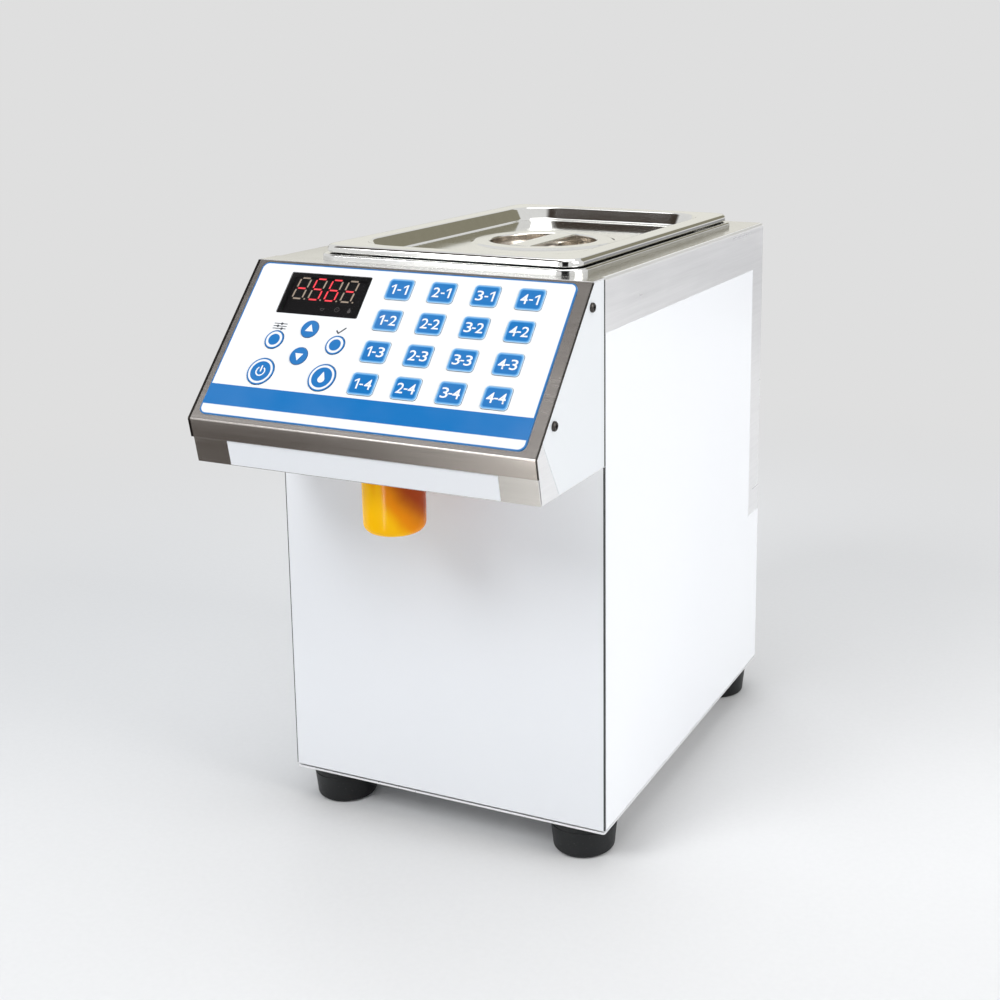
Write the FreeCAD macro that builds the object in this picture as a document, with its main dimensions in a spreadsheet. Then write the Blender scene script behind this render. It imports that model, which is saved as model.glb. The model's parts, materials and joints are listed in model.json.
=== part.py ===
# Sixteen-key fructose dispenser: a counter machine that pumps syrup from a covered pan.
# Every length is in millimetres. X runs to the right seen from the front, Y to the rear
# and Z up. The pieces are drawn with Y zero at the cabinet's front face and Z zero at the
# bench, and each is then moved so that the origin is the middle of the machine's footprint.

import FreeCAD, Part
import math
import os
import re
import Sketcher

# The driving sizes, one cell each.
SIZES = {
    # Cabinet
    "body_width": 254,
    "body_depth": 334,
    "deck_height": 415,
    "sheet_gauge": 1,
    "bend_radius": 3,
    "seam_gap": 1,
    "rear_return": 14,
    "tuck_depth": 14,
    "window_margin": 5,
    "window_sill": 12,
    # Base plate, feet and their screws
    "floor_gauge": 1.5,
    "floor_flange": 16,
    "floor_flange_inset": 18,
    "floor_corner": 2,
    "floor_slot_length": 60,
    "floor_slot_width": 4,
    "floor_slot_pitch": 14,
    "foot_height": 25,
    "foot_top_radius": 24.5,
    "foot_bottom_radius": 22,
    "foot_edge": 3,
    "foot_recess_radius": 9,
    "foot_web": 6,
    "foot_side_inset": 27,
    "foot_end_inset": 25,
    "foot_screw_radius": 2,
    "foot_screw_head_radius": 5,
    "foot_screw_head": 3,
    "foot_screw_length": 13,
    "foot_nut_radius": 4,
    "foot_nut": 3.2,
    "screw_clearance": 0.2,
    # White film on the steel
    "film_gauge": 0.3,
    "film_margin": 0.6,
    "bare_band_height": 36.5,
    "bare_strip_width": 29.5,
    "bare_strip_length": 250.5,
    "bare_corner_width": 25,
    "bare_corner_top_width": 4,
    "lip_bare_width": 27,
    # Console under the key panel
    "brow_reach": 17,
    "console_reach": 99.7,
    "console_corner_drop": 95.1,
    "lip_reach": 93.6,
    "console_drop": 125.7,
    "console_seam": 0.8,
    "console_tab": 10,
    # Key panel plate
    "panel_overhang": 1,
    "panel_gauge": 1.2,
    "panel_flange": 12.8,
    "panel_bend": 1.5,
    # Printed overlay
    "overlay_margin": 7,
    "overlay_height": 119.3,
    "overlay_gauge": 0.8,
    "overlay_corner": 5,
    "overlay_top_gap": 2.2,
    "overlay_offset": 1.3,
    # Keys
    "key_width": 19,
    "key_height": 16,
    "key_corner": 2.5,
    "key_gauge": 0.6,
    "key_rise": 0.4,
    "key_gap": 0.35,
    "key_pitch_share": 0.13375,
    "key_pitch_down": 23.9,
    "key_block_share": 0.03,
    "key_block_drop": 16.6,
    "control_share": 0.2617,
    "control_pitch_share": 0.1,
    "arrow_key_radius": 6.5,
    "arrow_key_drop": 52,
    "arrow_key_pitch": 20.7,
    "small_key_radius": 7,
    "small_key_drop": 62.2,
    "large_key_radius": 10,
    "large_key_drop": 86.7,
    "plunger_radius": 2.5,
    "plunger_gap": 0.5,
    # Display
    "display_width": 64,
    "display_height": 32.5,
    "display_drop": 8.7,
    "display_share": 0.2625,
    "display_ledge": 1.5,
    "display_corner": 1.2,
    "lens_gauge": 0.9,
    "lens_gap": 0.1,
    "module_width": 60,
    "module_height": 28.5,
    "module_gap": 0.3,
    # Control board
    "board_inset": 9,
    "board_height": 108,
    "board_top_gap": 5,
    "board_setback": 9,
    "board_gauge": 1.6,
    "board_corner": 2,
    "switch_width": 6,
    "switch_height": 3.5,
    "switch_bore": 2,
    "stem_radius": 1.7,
    "stem_clearance": 0.05,
    "stem_rise": 2.5,
    "stem_seat": 1.2,
    "post_radius": 3,
    "post_inset": 5,
    "board_screw_radius": 1.2,
    "board_screw_head_radius": 2.6,
    "board_screw_head": 2,
    "board_screw_length": 7,
    "relay_width": 18,
    "relay_depth": 14,
    "relay_height": 9,
    # Syrup pan
    "pan_offset": 11,
    "rim_side_margin": 26,
    "rim_rear_margin": 32,
    "rim_reach": 7,
    "rim_flange": 12,
    "rim_height": 4.5,
    "rim_corner": 17,
    "pan_depth": 150,
    "pan_gauge": 1,
    "pan_corner": 22,
    "pan_floor_edge": 14,
    "deck_clearance": 0.5,
    "outlet_pad_radius": 14,
    "outlet_pad_gauge": 2,
    "outlet_length": 20,
    # Lid
    "lid_margin": 3.5,
    "lid_skirt": 6.2,
    "lid_gauge": 1,
    "lid_flange": 15,
    "lid_recess": 10.2,
    "recess_corner": 33,
    "recess_draft": 30,
    "recess_edge": 1.5,
    "bowl_radius": 40.5,
    "bowl_depth": 14,
    "bowl_edge": 5,
    "ring_radius": 54,
    "ring_rise": 1.2,
    "strap_width": 17,
    "strap_gauge": 1.2,
    "strap_fold": 4,
    "strap_fit": 0.1,
    # Hoses and their clips
    "barb_radius": 4,
    "barb_bore": 2.8,
    "hose_radius": 6,
    "hose_fit": 0.1,
    "hose_overlap": 15,
    "clip_width": 6,
    "clip_gauge": 0.8,
    "clip_ear": 4,
    # Gear pump
    "pump_offset": 50,
    "pump_front": 62,
    "pump_depth": 18,
    "pump_width": 50,
    "pump_height": 58,
    "port_height": 125,
    "hose_wall_gap": 19,
    "port_radius": 5,
    "port_bore": 2.5,
    "elbow_radius": 6,
    "elbow_rise": 24,
    "cover_gauge": 5,
    "cavity_depth": 12.2,
    "gear_module": 1.5,
    "gear_width": 12,
    "gear_backlash": 0.3,
    "gear_tip_gap": 0.25,
    "shaft_radius": 3,
    "shaft_clearance": 0.05,
    "shaft_seat": 3,
    "drive_shaft_reach": 14,
    "pump_screw_radius": 2,
    "pump_screw_head_radius": 3.5,
    "pump_screw_head": 3,
    "pump_screw_inset": 5,
    # Motor and bracket
    "motor_radius": 19,
    "motor_length": 68,
    "motor_cap": 6,
    "motor_cap_step": 1.5,
    "bracket_gauge": 2,
    "bracket_width": 62,
    "bracket_foot": 50,
    "bracket_head": 8,
    "bracket_bore": 7,
    # Outlet nozzle and its cap
    "nozzle_reach": 55,
    "nozzle_bore": 5,
    "nozzle_radius": 9,
    "nozzle_length": 22,
    "nozzle_flange_radius": 18.45,
    "nozzle_flange_gauge": 4,
    "nozzle_neck_radius": 8,
    "nozzle_neck_clearance": 0.2,
    "nozzle_elbow_height": 20,
    "nozzle_dome": 7,
    "nozzle_barb_length": 26,
    "nut_radius": 13,
    "nut_height": 6,
    "cap_radius": 21.2,
    "cap_wall": 2.7,
    "cap_length": 42.9,
    "cap_gap": 0.5,
    "cap_edge": 6.5,
    "cap_nib_radius": 3,
    "cap_nib_length": 1.5,
    # Power supply
    "supply_width": 98,
    "supply_length": 150,
    "supply_height": 38,
    "supply_wall_gap": 13,
    "supply_rear_gap": 34,
    "supply_corner": 1.5,
    "terminal_length": 12,
    "terminal_height": 16,
    # Mains inlet and its rocker
    "inlet_offset": 65,
    "inlet_height": 75,
    "inlet_width": 27,
    "inlet_tall": 47,
    "inlet_depth": 25,
    "inlet_flange": 2,
    "inlet_flange_gauge": 4,
    "inlet_corner": 2,
    "inlet_fit": 0.2,
    "socket_drop": 12.5,
    "socket_width": 24,
    "socket_height": 16.5,
    "socket_depth": 17,
    "blade_width": 2,
    "blade_height": 4,
    "blade_length": 12,
    "blade_spread": 7,
    "blade_offset": 2,
    "rocker_lift": 11.5,
    "rocker_width": 12.8,
    "rocker_length": 18.6,
    "rocker_rise": 5,
    "rocker_dip": 2.5,
    "rocker_depth": 4,
    "rocker_side_gap": 0.3,
    "rocker_end_gap": 0.9,
    "rocker_well": 9,
    "rocker_swing": 16,
    "rocker_pin_radius": 1.2,
    "rocker_pin_length": 1.5,
    # Rear panel and case screws
    "rear_margin": 4,
    "vent_width": 64,
    "vent_height": 4,
    "vent_pitch": 11,
    "vent_spread": 80,
    "vent_height_above_bench": 210,
    "case_screw_radius": 1.5,
    "case_screw_head_radius": 3.2,
    "case_screw_head": 1.9,
    "case_screw_length": 8,
    "case_screw_dome": 0.7,
    "case_screw_slot": 0.9,
    "rear_screw_inset": 9,
    "cheek_screw_inset": 8,
    "cheek_screw_top": 13,
    "cheek_screw_bottom": 98,
    # Wiring
    "lead_radius": 2.5,
    "lead_height": 50,
    "lead_wall_gap": 7,
    "lead_rear_gap": 84,
    "motor_lead_run": 34,
    "lead_rise": 335,
    "board_lead_drop": 62,
    "board_lead_inset": 11,
    "board_lead_run": 28,
    # One overrun for every cut
    "overrun": 5,
}

# Places and proportions worked out from the sizes.
PLACES = {
    "half_width": "body_width / 2",
    "floor_top": "foot_height + floor_gauge",
    "shell_foot": "floor_top + seam_gap",
    "shell_height": "deck_height - shell_foot",
    "shell_front": "sheet_gauge + seam_gap",
    "shell_inside": "half_width - sheet_gauge",
    "roof_under": "deck_height - sheet_gauge",
    "console_floor": "deck_height - console_drop",
    "console_floor_top": "console_floor + sheet_gauge",
    "slope_run": "console_reach - brow_reach",
    "slope_fall": "console_corner_drop - sheet_gauge",
    "slope_length": "sqrt(slope_run ^ 2 + slope_fall ^ 2)",
    "corner_height": "deck_height - console_corner_drop",
    "lip_lean": "console_reach - lip_reach",
    "lip_fall": "corner_height - console_floor",
    "lip_length": "sqrt(lip_lean ^ 2 + lip_fall ^ 2)",
    "slope_sin": "slope_fall / slope_length",
    "slope_cos": "slope_run / slope_length",
    "lip_sin": "lip_lean / lip_length",
    "lip_cos": "lip_fall / lip_length",
    # The panel turns down into its flange: cosine, sine and tangent of half that turn.
    "turn_cos": "slope_cos * -lip_sin + slope_sin * lip_cos",
    "turn_sin": "slope_cos * lip_cos + slope_sin * lip_sin",
    "turn_half_tan": "turn_sin / (1 + turn_cos)",
    "panel_width": "body_width + 2 * panel_overhang",
    "overlay_width": "body_width - 2 * overlay_margin",
    "overlay_left": "0 - overlay_width / 2 - overlay_offset",
    "overlay_low": "0 - overlay_top_gap - overlay_height",
    "overlay_top": "panel_gauge + overlay_gauge",
    "key_pitch_across": "overlay_width * key_pitch_share",
    "key_block_offset": "overlay_width * key_block_share",
    "control_offset": "overlay_width * control_share",
    "control_pitch": "overlay_width * control_pitch_share",
    "display_offset": "overlay_width * display_share",
    "board_width": "overlay_width - 2 * board_inset",
    "board_lead_offset": "board_width / 2 - board_lead_inset",
    "key_top": "overlay_top + key_rise",
    "key_under": "key_top - key_gauge",
    "plunger_end": "0 - board_setback + switch_height + stem_rise",
    "switch_top": "0 - board_setback + switch_height",
    "board_back": "board_setback + board_gauge",
    "lens_left": "0 - display_offset - display_width / 2",
    "lens_low": "0 - display_drop - display_height",
    "rim_width": "body_width - 2 * rim_side_margin",
    "rim_length": "body_depth + rim_reach - rim_rear_margin",
    "rim_left": "pan_offset - rim_width / 2",
    "rim_top": "deck_height + rim_height",
    "tub_left": "rim_left + rim_flange",
    "tub_front": "rim_flange - rim_reach",
    "tub_width": "rim_width - 2 * rim_flange",
    "tub_length": "rim_length - 2 * rim_flange",
    "tub_under": "deck_height - pan_depth",
    "lid_left": "rim_left + lid_margin",
    "lid_front": "lid_margin - rim_reach",
    "lid_width": "rim_width - 2 * lid_margin",
    "lid_length": "rim_length - 2 * lid_margin",
    "lid_top": "rim_top + lid_skirt",
    "lid_middle": "rim_length / 2 - rim_reach",
    "recess_floor": "lid_top - lid_recess",
    "bowl_floor": "recess_floor - bowl_depth",
    "hose_bore": "barb_radius + hose_fit",
    "port_y": "pump_front + cavity_depth / 2",
    "left_reach": "shell_inside - hose_wall_gap - pump_offset",
    "right_reach": "pan_offset + pump_offset",
    "gear_gap": "gear_module * 12",
    "drive_height": "port_height - gear_gap / 2",
    "idler_height": "port_height + gear_gap / 2",
    "tip_radius": "gear_gap / 2 + gear_module * 0.85",
    "pump_back": "pump_front + pump_depth",
    "motor_front": "pump_back + bracket_gauge",
    "elbow_top": "port_height + elbow_rise",
    "nozzle_barb_height": "console_floor_top + nozzle_elbow_height",
    "cap_top": "console_floor - cap_gap",
    "cap_base": "cap_top - cap_length",
    "cap_bore": "cap_radius - cap_wall",
    "supply_base": "floor_top",
    "supply_left": "shell_inside - supply_wall_gap - supply_width",
    "supply_front": "body_depth - supply_rear_gap - supply_length",
    "lead_rear": "body_depth - lead_rear_gap",
    "rear_face": "body_depth + sheet_gauge",
    "inlet_face": "rear_face + inlet_flange_gauge",
    "socket_middle": "inlet_height - socket_drop",
    "rocker_middle": "inlet_height + rocker_lift",
    "rocker_sin": "sin(rocker_swing / 2 * 1 deg)",
    "rocker_cos": "cos(rocker_swing / 2 * 1 deg)",
    "brow_k": "(slope_sin + lip_cos) / (1 + turn_cos)",
    "front_reach": "console_reach + panel_gauge * brow_k - panel_bend * (brow_k - 1)",
    "rear_reach": "sheet_gauge + rocker_rise * rocker_cos + rocker_length / 2 * rocker_sin",
    "front_y": "(front_reach - body_depth - rear_reach) / 2",
}

KEY_COLUMNS = 4
KEY_ROWS = 4
GEAR_TEETH = 12
PRESSURE_ANGLE = math.radians(25)
ADDENDUM_SHARE = 0.85
DEDENDUM_SHARE = 1.15
FLANK_STEPS = 5
VENT_ROWS = 9
FLOOR_SLOTS = 5
REAR_SCREW_SHARES = (0.06, 0.5, 0.94)
ARC_SHARE = 0.45
LEFT_AND_RIGHT = (-1, 1)
UP = FreeCAD.Vector(0, 0, 1)
ACROSS = FreeCAD.Vector(1, 0, 0)
REARWARD = FreeCAD.Vector(0, 1, 0)

doc = FreeCAD.newDocument("fructose_dispenser")
sheet = doc.addObject("Spreadsheet::Sheet", "size")
place = doc.addObject("App::VarSet", "place")
nodes = []


def words(text):
    """Point each name in an expression at its cell or its worked-out place."""
    def full_name(match):
        name = match.group(0)
        if name in SIZES:
            return "size." + name
        if name in PLACES:
            return "place." + name
        return name
    return re.sub(r"[a-z][a-z_]+", full_name, text)


def fill_sheet():
    for row, (name, value) in enumerate(SIZES.items(), 1):
        sheet.set(f"A{row}", name)
        sheet.set(f"B{row}", str(value))
        sheet.setAlias(f"B{row}", name)
    doc.recompute()
    for name in PLACES:
        place.addProperty("App::PropertyFloat", name)
    for name, text in PLACES.items():
        place.setExpression(name, words(text))
    doc.recompute()


def number(name):
    """The value of one size or place, for shapes made by Part's own functions."""
    return float(getattr(sheet if name in SIZES else place, name))


def bind(item, **texts):
    for prop, text in texts.items():
        item.setExpression(prop, words(text))


def put(item, x="0", y="0", z="0"):
    for axis, text in zip("xyz", (x, y, z)):
        item.setExpression("Placement.Base." + axis, words(text))


# Plain solids

def block(name, low, extent):
    """A box from its low corner and its three extents."""
    box = doc.addObject("Part::Box", name)
    put(box, *low)
    bind(box, Length=extent[0], Width=extent[1], Height=extent[2])
    return box


def rod(name, radius, length, start, along=UP):
    """A cylinder from the middle of its first end."""
    cylinder = doc.addObject("Part::Cylinder", name)
    cylinder.Placement = FreeCAD.Placement(FreeCAD.Vector(), FreeCAD.Rotation(UP, along))
    put(cylinder, *start)
    bind(cylinder, Radius=radius, Height=length)
    return cylinder


def hexagon(name, radius, length, start):
    prism = doc.addObject("Part::Prism", name)
    put(prism, *start)
    bind(prism, Circumradius=radius, Height=length)
    return prism


def cut(name, base, *tools):
    result = doc.addObject("Part::Cut", name)
    result.Base = base
    result.Tool = tools[0] if len(tools) == 1 else join(name + "_tools", *tools)
    return result


def join(name, *parts):
    result = doc.addObject("Part::MultiFuse", name)
    result.Shapes = list(parts)
    result.Refine = True
    return result


def group(name, *parts):
    """Several separate solids that make one node."""
    result = doc.addObject("Part::Compound", name)
    result.Links = list(parts)
    return result


# Sketched solids

def outline(body, role, points):
    """A closed polygon on one of the body's planes, each corner bound to the sheet."""
    sketch = body.newObject("Sketcher::SketchObject", body.Name + "_sketch")
    plane = [item for item in body.Origin.OriginFeatures if item.Role == role][0]
    sketch.AttachmentSupport = [(plane, "")]
    sketch.MapMode = "FlatFace"
    count = len(points)
    guesses = [FreeCAD.Vector(math.cos(math.tau * i / count), math.sin(math.tau * i / count), 0)
               for i in range(count)]
    for i in range(count):
        sketch.addGeometry(Part.LineSegment(guesses[i], guesses[(i + 1) % count]))
    for i in range(count):
        sketch.addConstraint(Sketcher.Constraint("Coincident", i, 2, (i + 1) % count, 1))
    for i, corner in enumerate(points):
        for kind, text, guess in zip(("DistanceX", "DistanceY"), corner, guesses[i]):
            index = sketch.addConstraint(Sketcher.Constraint(kind, -1, 1, i, 1, guess))
            sketch.setExpression(f"Constraints[{index}]", words(text))
    return sketch


def prism(name, role, points, length, middle=True):
    """A polygon pushed straight out of its plane, to both sides alike if middle is true."""
    body = doc.addObject("PartDesign::Body", name)
    pad = body.newObject("PartDesign::Pad", name + "_pad")
    pad.Profile = outline(body, role, points)
    pad.Midplane = middle
    bind(pad, Length=length)
    doc.recompute()
    return body


def turned(name, points):
    """A polygon of radius and height turned about Z."""
    body = doc.addObject("PartDesign::Body", name)
    profile = outline(body, "XZ_Plane", points)
    turn = body.newObject("PartDesign::Revolution", name + "_turn")
    turn.Profile = profile
    turn.ReferenceAxis = (profile, ["V_Axis"])
    doc.recompute()
    return body


def round_edges(body, radius, chosen):
    """Fillet the edges of the body's last feature that chosen picks."""
    last = body.Tip
    names = [f"Edge{i}" for i, edge in enumerate(last.Shape.Edges, 1) if chosen(edge)]
    fillet = body.newObject("PartDesign::Fillet", last.Name + "_round")
    fillet.Base = (last, names)
    bind(fillet, Radius=radius)
    doc.recompute()
    return body


def is_straight(edge):
    return isinstance(edge.Curve, (Part.Line, Part.LineSegment))


def runs_along(edge, axis):
    """True for a straight edge that lies along the axis."""
    if not is_straight(edge):
        return False
    way = edge.Vertexes[1].Point - edge.Vertexes[0].Point
    return abs(way.dot(axis)) > way.cross(axis).Length


def rectangle(x, y, length, width):
    right = f"{x} + {length}"
    rear = f"{y} + {width}"
    return [(x, y), (right, y), (right, rear), (x, rear)]


def rounded(name, low, extent, corner):
    """A plate with round upright corners."""
    body = prism(name, "XY_Plane", rectangle(low[0], low[1], extent[0], extent[1]), extent[2], False)
    round_edges(body, corner, lambda edge: runs_along(edge, UP))
    body.setExpression("Placement.Base.z", words(low[2]))
    return body


def soften_bottom(body, radius):
    shape = body.Tip.Shape
    low = shape.BoundBox.ZMin
    lowest = min(abs(edge.BoundBox.ZMax - low) for edge in shape.Edges)
    return round_edges(body, radius, lambda edge: abs(edge.BoundBox.ZMax - low) <= lowest)


# Each node gets its label and its place in the machine

def node(name, item, tilted=False):
    """Name a finished piece and move it to its place; a tilted one is drawn on the panel."""
    item.Label = name
    if tilted:
        item.Placement = FreeCAD.Placement(FreeCAD.Vector(), FreeCAD.Rotation(ACROSS, 1))
        item.setExpression("Placement.Rotation.Angle", words("atan(slope_fall / slope_run)"))
        put(item, "0", "front_y - brow_reach", "roof_under")
    else:
        put(item, "0", "front_y", "0")
    nodes.append(item)
    return item


def mirrored_pairs(make):
    """The same piece on the left and on the right."""
    return [make(side, word) for side, word in zip(LEFT_AND_RIGHT, ("left", "right"))]


# Cabinet

def base_plate():
    plate = rounded("floor", ("-half_width", "0", "foot_height"),
                    ("body_width", "body_depth", "floor_gauge"), "floor_corner")
    flanges = mirrored_pairs(lambda side, word: block(
        "floor_flange_" + word,
        ("shell_inside - floor_gauge" if side > 0 else "-shell_inside", "floor_flange_inset", "floor_top"),
        ("floor_gauge", "body_depth - 2 * floor_flange_inset", "floor_flange")))
    slots = [block(f"floor_slot_{i}",
                   ("-floor_slot_length / 2",
                    f"body_depth / 2 + {i} * floor_slot_pitch", "foot_height - overrun"),
                   ("floor_slot_length", "floor_slot_width", "floor_gauge + 2 * overrun"))
             for i in range(FLOOR_SLOTS)]
    holes = [rod(f"floor_hole_{i}", "foot_screw_radius + screw_clearance", "floor_gauge + 2 * overrun",
                 (x, y, "foot_height - overrun")) for i, (x, y) in enumerate(foot_places())]
    return cut("base_plate_cut", join("base_plate_join", plate, *flanges), *slots, *holes)


def foot_places():
    side = "half_width - foot_side_inset"
    front = "foot_end_inset"
    rear = "body_depth - foot_end_inset"
    return [(f"-({side})", front), (side, front), (f"-({side})", rear), (side, rear)]


def rubber_foot(index, x, y):
    recess = "foot_height - foot_web"
    bore = "foot_screw_radius + screw_clearance"
    foot = turned(f"foot_{index}", [
        ("foot_recess_radius", "0"), ("foot_bottom_radius", "0"), ("foot_top_radius", "foot_height"),
        (bore, "foot_height"), (bore, recess), ("foot_recess_radius", recess)])
    radius = number("foot_bottom_radius")
    round_edges(foot, "foot_edge", lambda edge: edge.BoundBox.ZMax < number("foot_web")
                and edge.BoundBox.XLength >= radius + radius - number("film_gauge"))
    put(foot, x, y, "0")
    return foot


def foot_screw(index, x, y):
    top = "foot_height - foot_web"
    screw = turned(f"foot_screw_{index}", [
        ("0", f"{top} - foot_screw_head"), ("foot_screw_head_radius", f"{top} - foot_screw_head"),
        ("foot_screw_head_radius", top), ("foot_screw_radius", top),
        ("foot_screw_radius", f"{top} + foot_screw_length"), ("0", f"{top} + foot_screw_length")])
    put(screw, x, y, "0")
    nut = hexagon(f"foot_nut_{index}", "foot_nut_radius", "foot_nut", (x, y, "floor_top"))
    thread = rod(f"foot_nut_bore_{index}", "foot_screw_radius + stem_clearance", "foot_nut + 2 * overrun",
                 (x, y, "floor_top - overrun"))
    return group(f"foot_fixing_{index}", screw, cut(f"foot_nut_cut_{index}", nut, thread))


def body_wrap():
    """Roof and both sides bent from one sheet, with returns round the open back."""
    run = "body_depth - shell_front"
    outer = prism("wrap_outer", "XY_Plane", rectangle("-half_width", "shell_front", "body_width", run),
                  "shell_height", False)
    top = number("shell_height")

    def outer_bends(edge):
        upright_rear = runs_along(edge, UP) and edge.BoundBox.YMin > number("shell_front")
        roof = edge.BoundBox.ZMin >= top - number("film_gauge") and edge.BoundBox.YMax > number("shell_front")
        lengthwise = runs_along(edge, REARWARD) and roof
        across_rear = runs_along(edge, ACROSS) and roof and edge.BoundBox.YMin > number("shell_front")
        return upright_rear or lengthwise or across_rear

    round_edges(outer, "bend_radius", outer_bends)
    outer.setExpression("Placement.Base.z", words("shell_foot"))
    inner = prism("wrap_inner", "XY_Plane",
                  rectangle("-shell_inside", "shell_front - overrun", "2 * shell_inside",
                            f"{run} - sheet_gauge + overrun"), "shell_height - sheet_gauge + overrun", False)
    inner_top = number("shell_height") - number("sheet_gauge") + number("overrun")

    def inner_bends(edge):
        front = number("shell_front") - number("overrun")
        roof = edge.BoundBox.ZMin >= inner_top - number("film_gauge")
        upright_rear = runs_along(edge, UP) and edge.BoundBox.YMin > front
        lengthwise = runs_along(edge, REARWARD) and roof
        across_rear = runs_along(edge, ACROSS) and roof and edge.BoundBox.YMin > front
        return upright_rear or lengthwise or across_rear

    round_edges(inner, "bend_radius - sheet_gauge", inner_bends)
    inner.setExpression("Placement.Base.z", words("shell_foot - overrun"))
    rear_window = block("wrap_rear_window",
                        ("rear_return - half_width", "body_depth - overrun", "shell_foot - overrun"),
                        ("body_width - 2 * rear_return", "2 * overrun", "shell_height - rear_return + overrun"))
    tongue = block("wrap_tongue", ("-half_width", "-brow_reach", "roof_under"),
                   ("body_width", "brow_reach + shell_front + bend_radius", "sheet_gauge"))
    opening = rounded("wrap_opening",
                      ("tub_left - deck_clearance", "tub_front - deck_clearance", "roof_under - overrun"),
                      ("tub_width + 2 * deck_clearance", "tub_length + 2 * deck_clearance",
                       "sheet_gauge + 2 * overrun"), "pan_corner + deck_clearance")
    tongue_gap = block("wrap_tongue_room", ("-half_width", "shell_front", "roof_under - overrun"),
                       ("body_width", "body_depth", "3 * overrun"))
    shell = cut("wrap_shell", outer, inner, rear_window)
    tongue_piece = cut("wrap_tongue_piece", tongue, tongue_gap)
    return cut("wrap_cut", join("wrap_join", shell, tongue_piece), opening, *rear_screw_holes("wrap"))


def front_panel():
    plate = block("front_plate", ("-half_width", "0", "shell_foot"),
                  ("body_width", "sheet_gauge", "roof_under - shell_foot"))
    tucks = mirrored_pairs(lambda side, word: block(
        "front_tuck_" + word,
        ("shell_inside - sheet_gauge" if side > 0 else "-shell_inside", "0", "shell_foot"),
        ("sheet_gauge", "tuck_depth", "roof_under - shell_foot - rear_return")))
    window = block("front_window", ("window_margin - half_width", "-overrun", "console_floor + window_sill"),
                   ("body_width - 2 * window_margin", "2 * overrun",
                    "console_drop - 2 * window_sill"))
    return cut("front_panel_cut", join("front_panel_join", plate, *tucks), window)


def console_tray():
    """Floor and lip of the console, bent from one sheet."""
    rise = "(sheet_gauge / lip_cos)"
    band = prism("tray_band", "YZ_Plane", [
        ("0", "console_floor"), ("-lip_reach", "console_floor"), ("-console_reach", "corner_height"),
        (f"{rise} - console_reach", "corner_height"),
        (f"{rise} - lip_reach - sheet_gauge * lip_sin / lip_cos", "console_floor_top"),
        ("0", "console_floor_top")], "body_width")
    trims = mirrored_pairs(lambda side, word: prism_trim(side, word))
    hole = rod("tray_hole", "nozzle_neck_radius + nozzle_neck_clearance", "sheet_gauge + 2 * overrun",
               ("0", "-nozzle_reach", "console_floor - overrun"))
    return cut("console_tray_cut", band, *trims, hole)


def prism_trim(side, word):
    """What the floor leaves for the cheek, up to the seam behind the lip."""
    lip_back = "(sheet_gauge / lip_cos)"
    reach = "2 * overrun"
    trim = prism("tray_trim_" + word, "YZ_Plane", [
        (f"{lip_back} - lip_reach + overrun * lip_sin / lip_cos", "console_floor - overrun"),
        (f"{lip_back} - console_reach - overrun * lip_sin / lip_cos", "corner_height + overrun"),
        (reach, "corner_height + overrun"), (reach, "console_floor - overrun")], "sheet_gauge + overrun")
    offset = "shell_inside + (sheet_gauge + overrun) / 2"
    trim.setExpression("Placement.Base.x", words(offset if side > 0 else f"-({offset})"))
    return trim


def console_cheek(side, word):
    """One side of the console, with a tab to the panel and one to the floor."""
    seam = "((sheet_gauge + console_seam) / lip_cos)"
    slope = f"({seam} * slope_fall / slope_run)"
    cheek = prism("cheek_" + word, "YZ_Plane", [
        ("0", "console_floor"), (f"{seam} - lip_reach", "console_floor"),
        (f"{seam} - console_reach", "corner_height"),
        (f"{seam} - console_reach", f"corner_height + {slope}"),
        ("-brow_reach", "roof_under"), ("0", "roof_under")], "sheet_gauge")
    middle = "shell_inside + sheet_gauge / 2"
    cheek.setExpression("Placement.Base.x", words(middle if side > 0 else f"-({middle})"))
    tab_low = "console_floor_top"
    tab = block("cheek_tab_" + word,
                ("shell_inside - console_tab" if side > 0 else "-shell_inside",
                 "console_tab - lip_reach", tab_low),
                ("console_tab", "lip_reach - 2 * console_tab", "sheet_gauge"))
    holes = [rod(f"cheek_hole_{word}_{i}", "case_screw_radius + screw_clearance", "sheet_gauge + 2 * overrun",
                 (f"{side} * shell_inside - {side} * overrun", y, z), ACROSS * side)
             for i, (y, z) in enumerate(cheek_screw_places())]
    return cut("console_cheek_" + word, join("cheek_join_" + word, cheek, tab), *holes)


def cheek_screw_places():
    """Places on the cheek, inside the panel's slope."""
    return [(f"-brow_reach - {drop} * slope_cos + cheek_screw_inset * slope_sin",
             f"roof_under - {drop} * slope_sin - cheek_screw_inset * slope_cos")
            for drop in ("cheek_screw_top", "cheek_screw_bottom")]


def rear_screw_places():
    span = "(shell_height - 2 * rear_screw_inset)"
    return [(f"{side} * (half_width - rear_screw_inset)", f"shell_foot + rear_screw_inset + {share} * {span}")
            for side in LEFT_AND_RIGHT for share in REAR_SCREW_SHARES]


def rear_screw_holes(owner):
    return [rod(f"{owner}_rear_hole_{i}", "case_screw_radius + screw_clearance", "4 * overrun",
                (x, "body_depth - 2 * overrun", z), REARWARD)
            for i, (x, z) in enumerate(rear_screw_places())]


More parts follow.
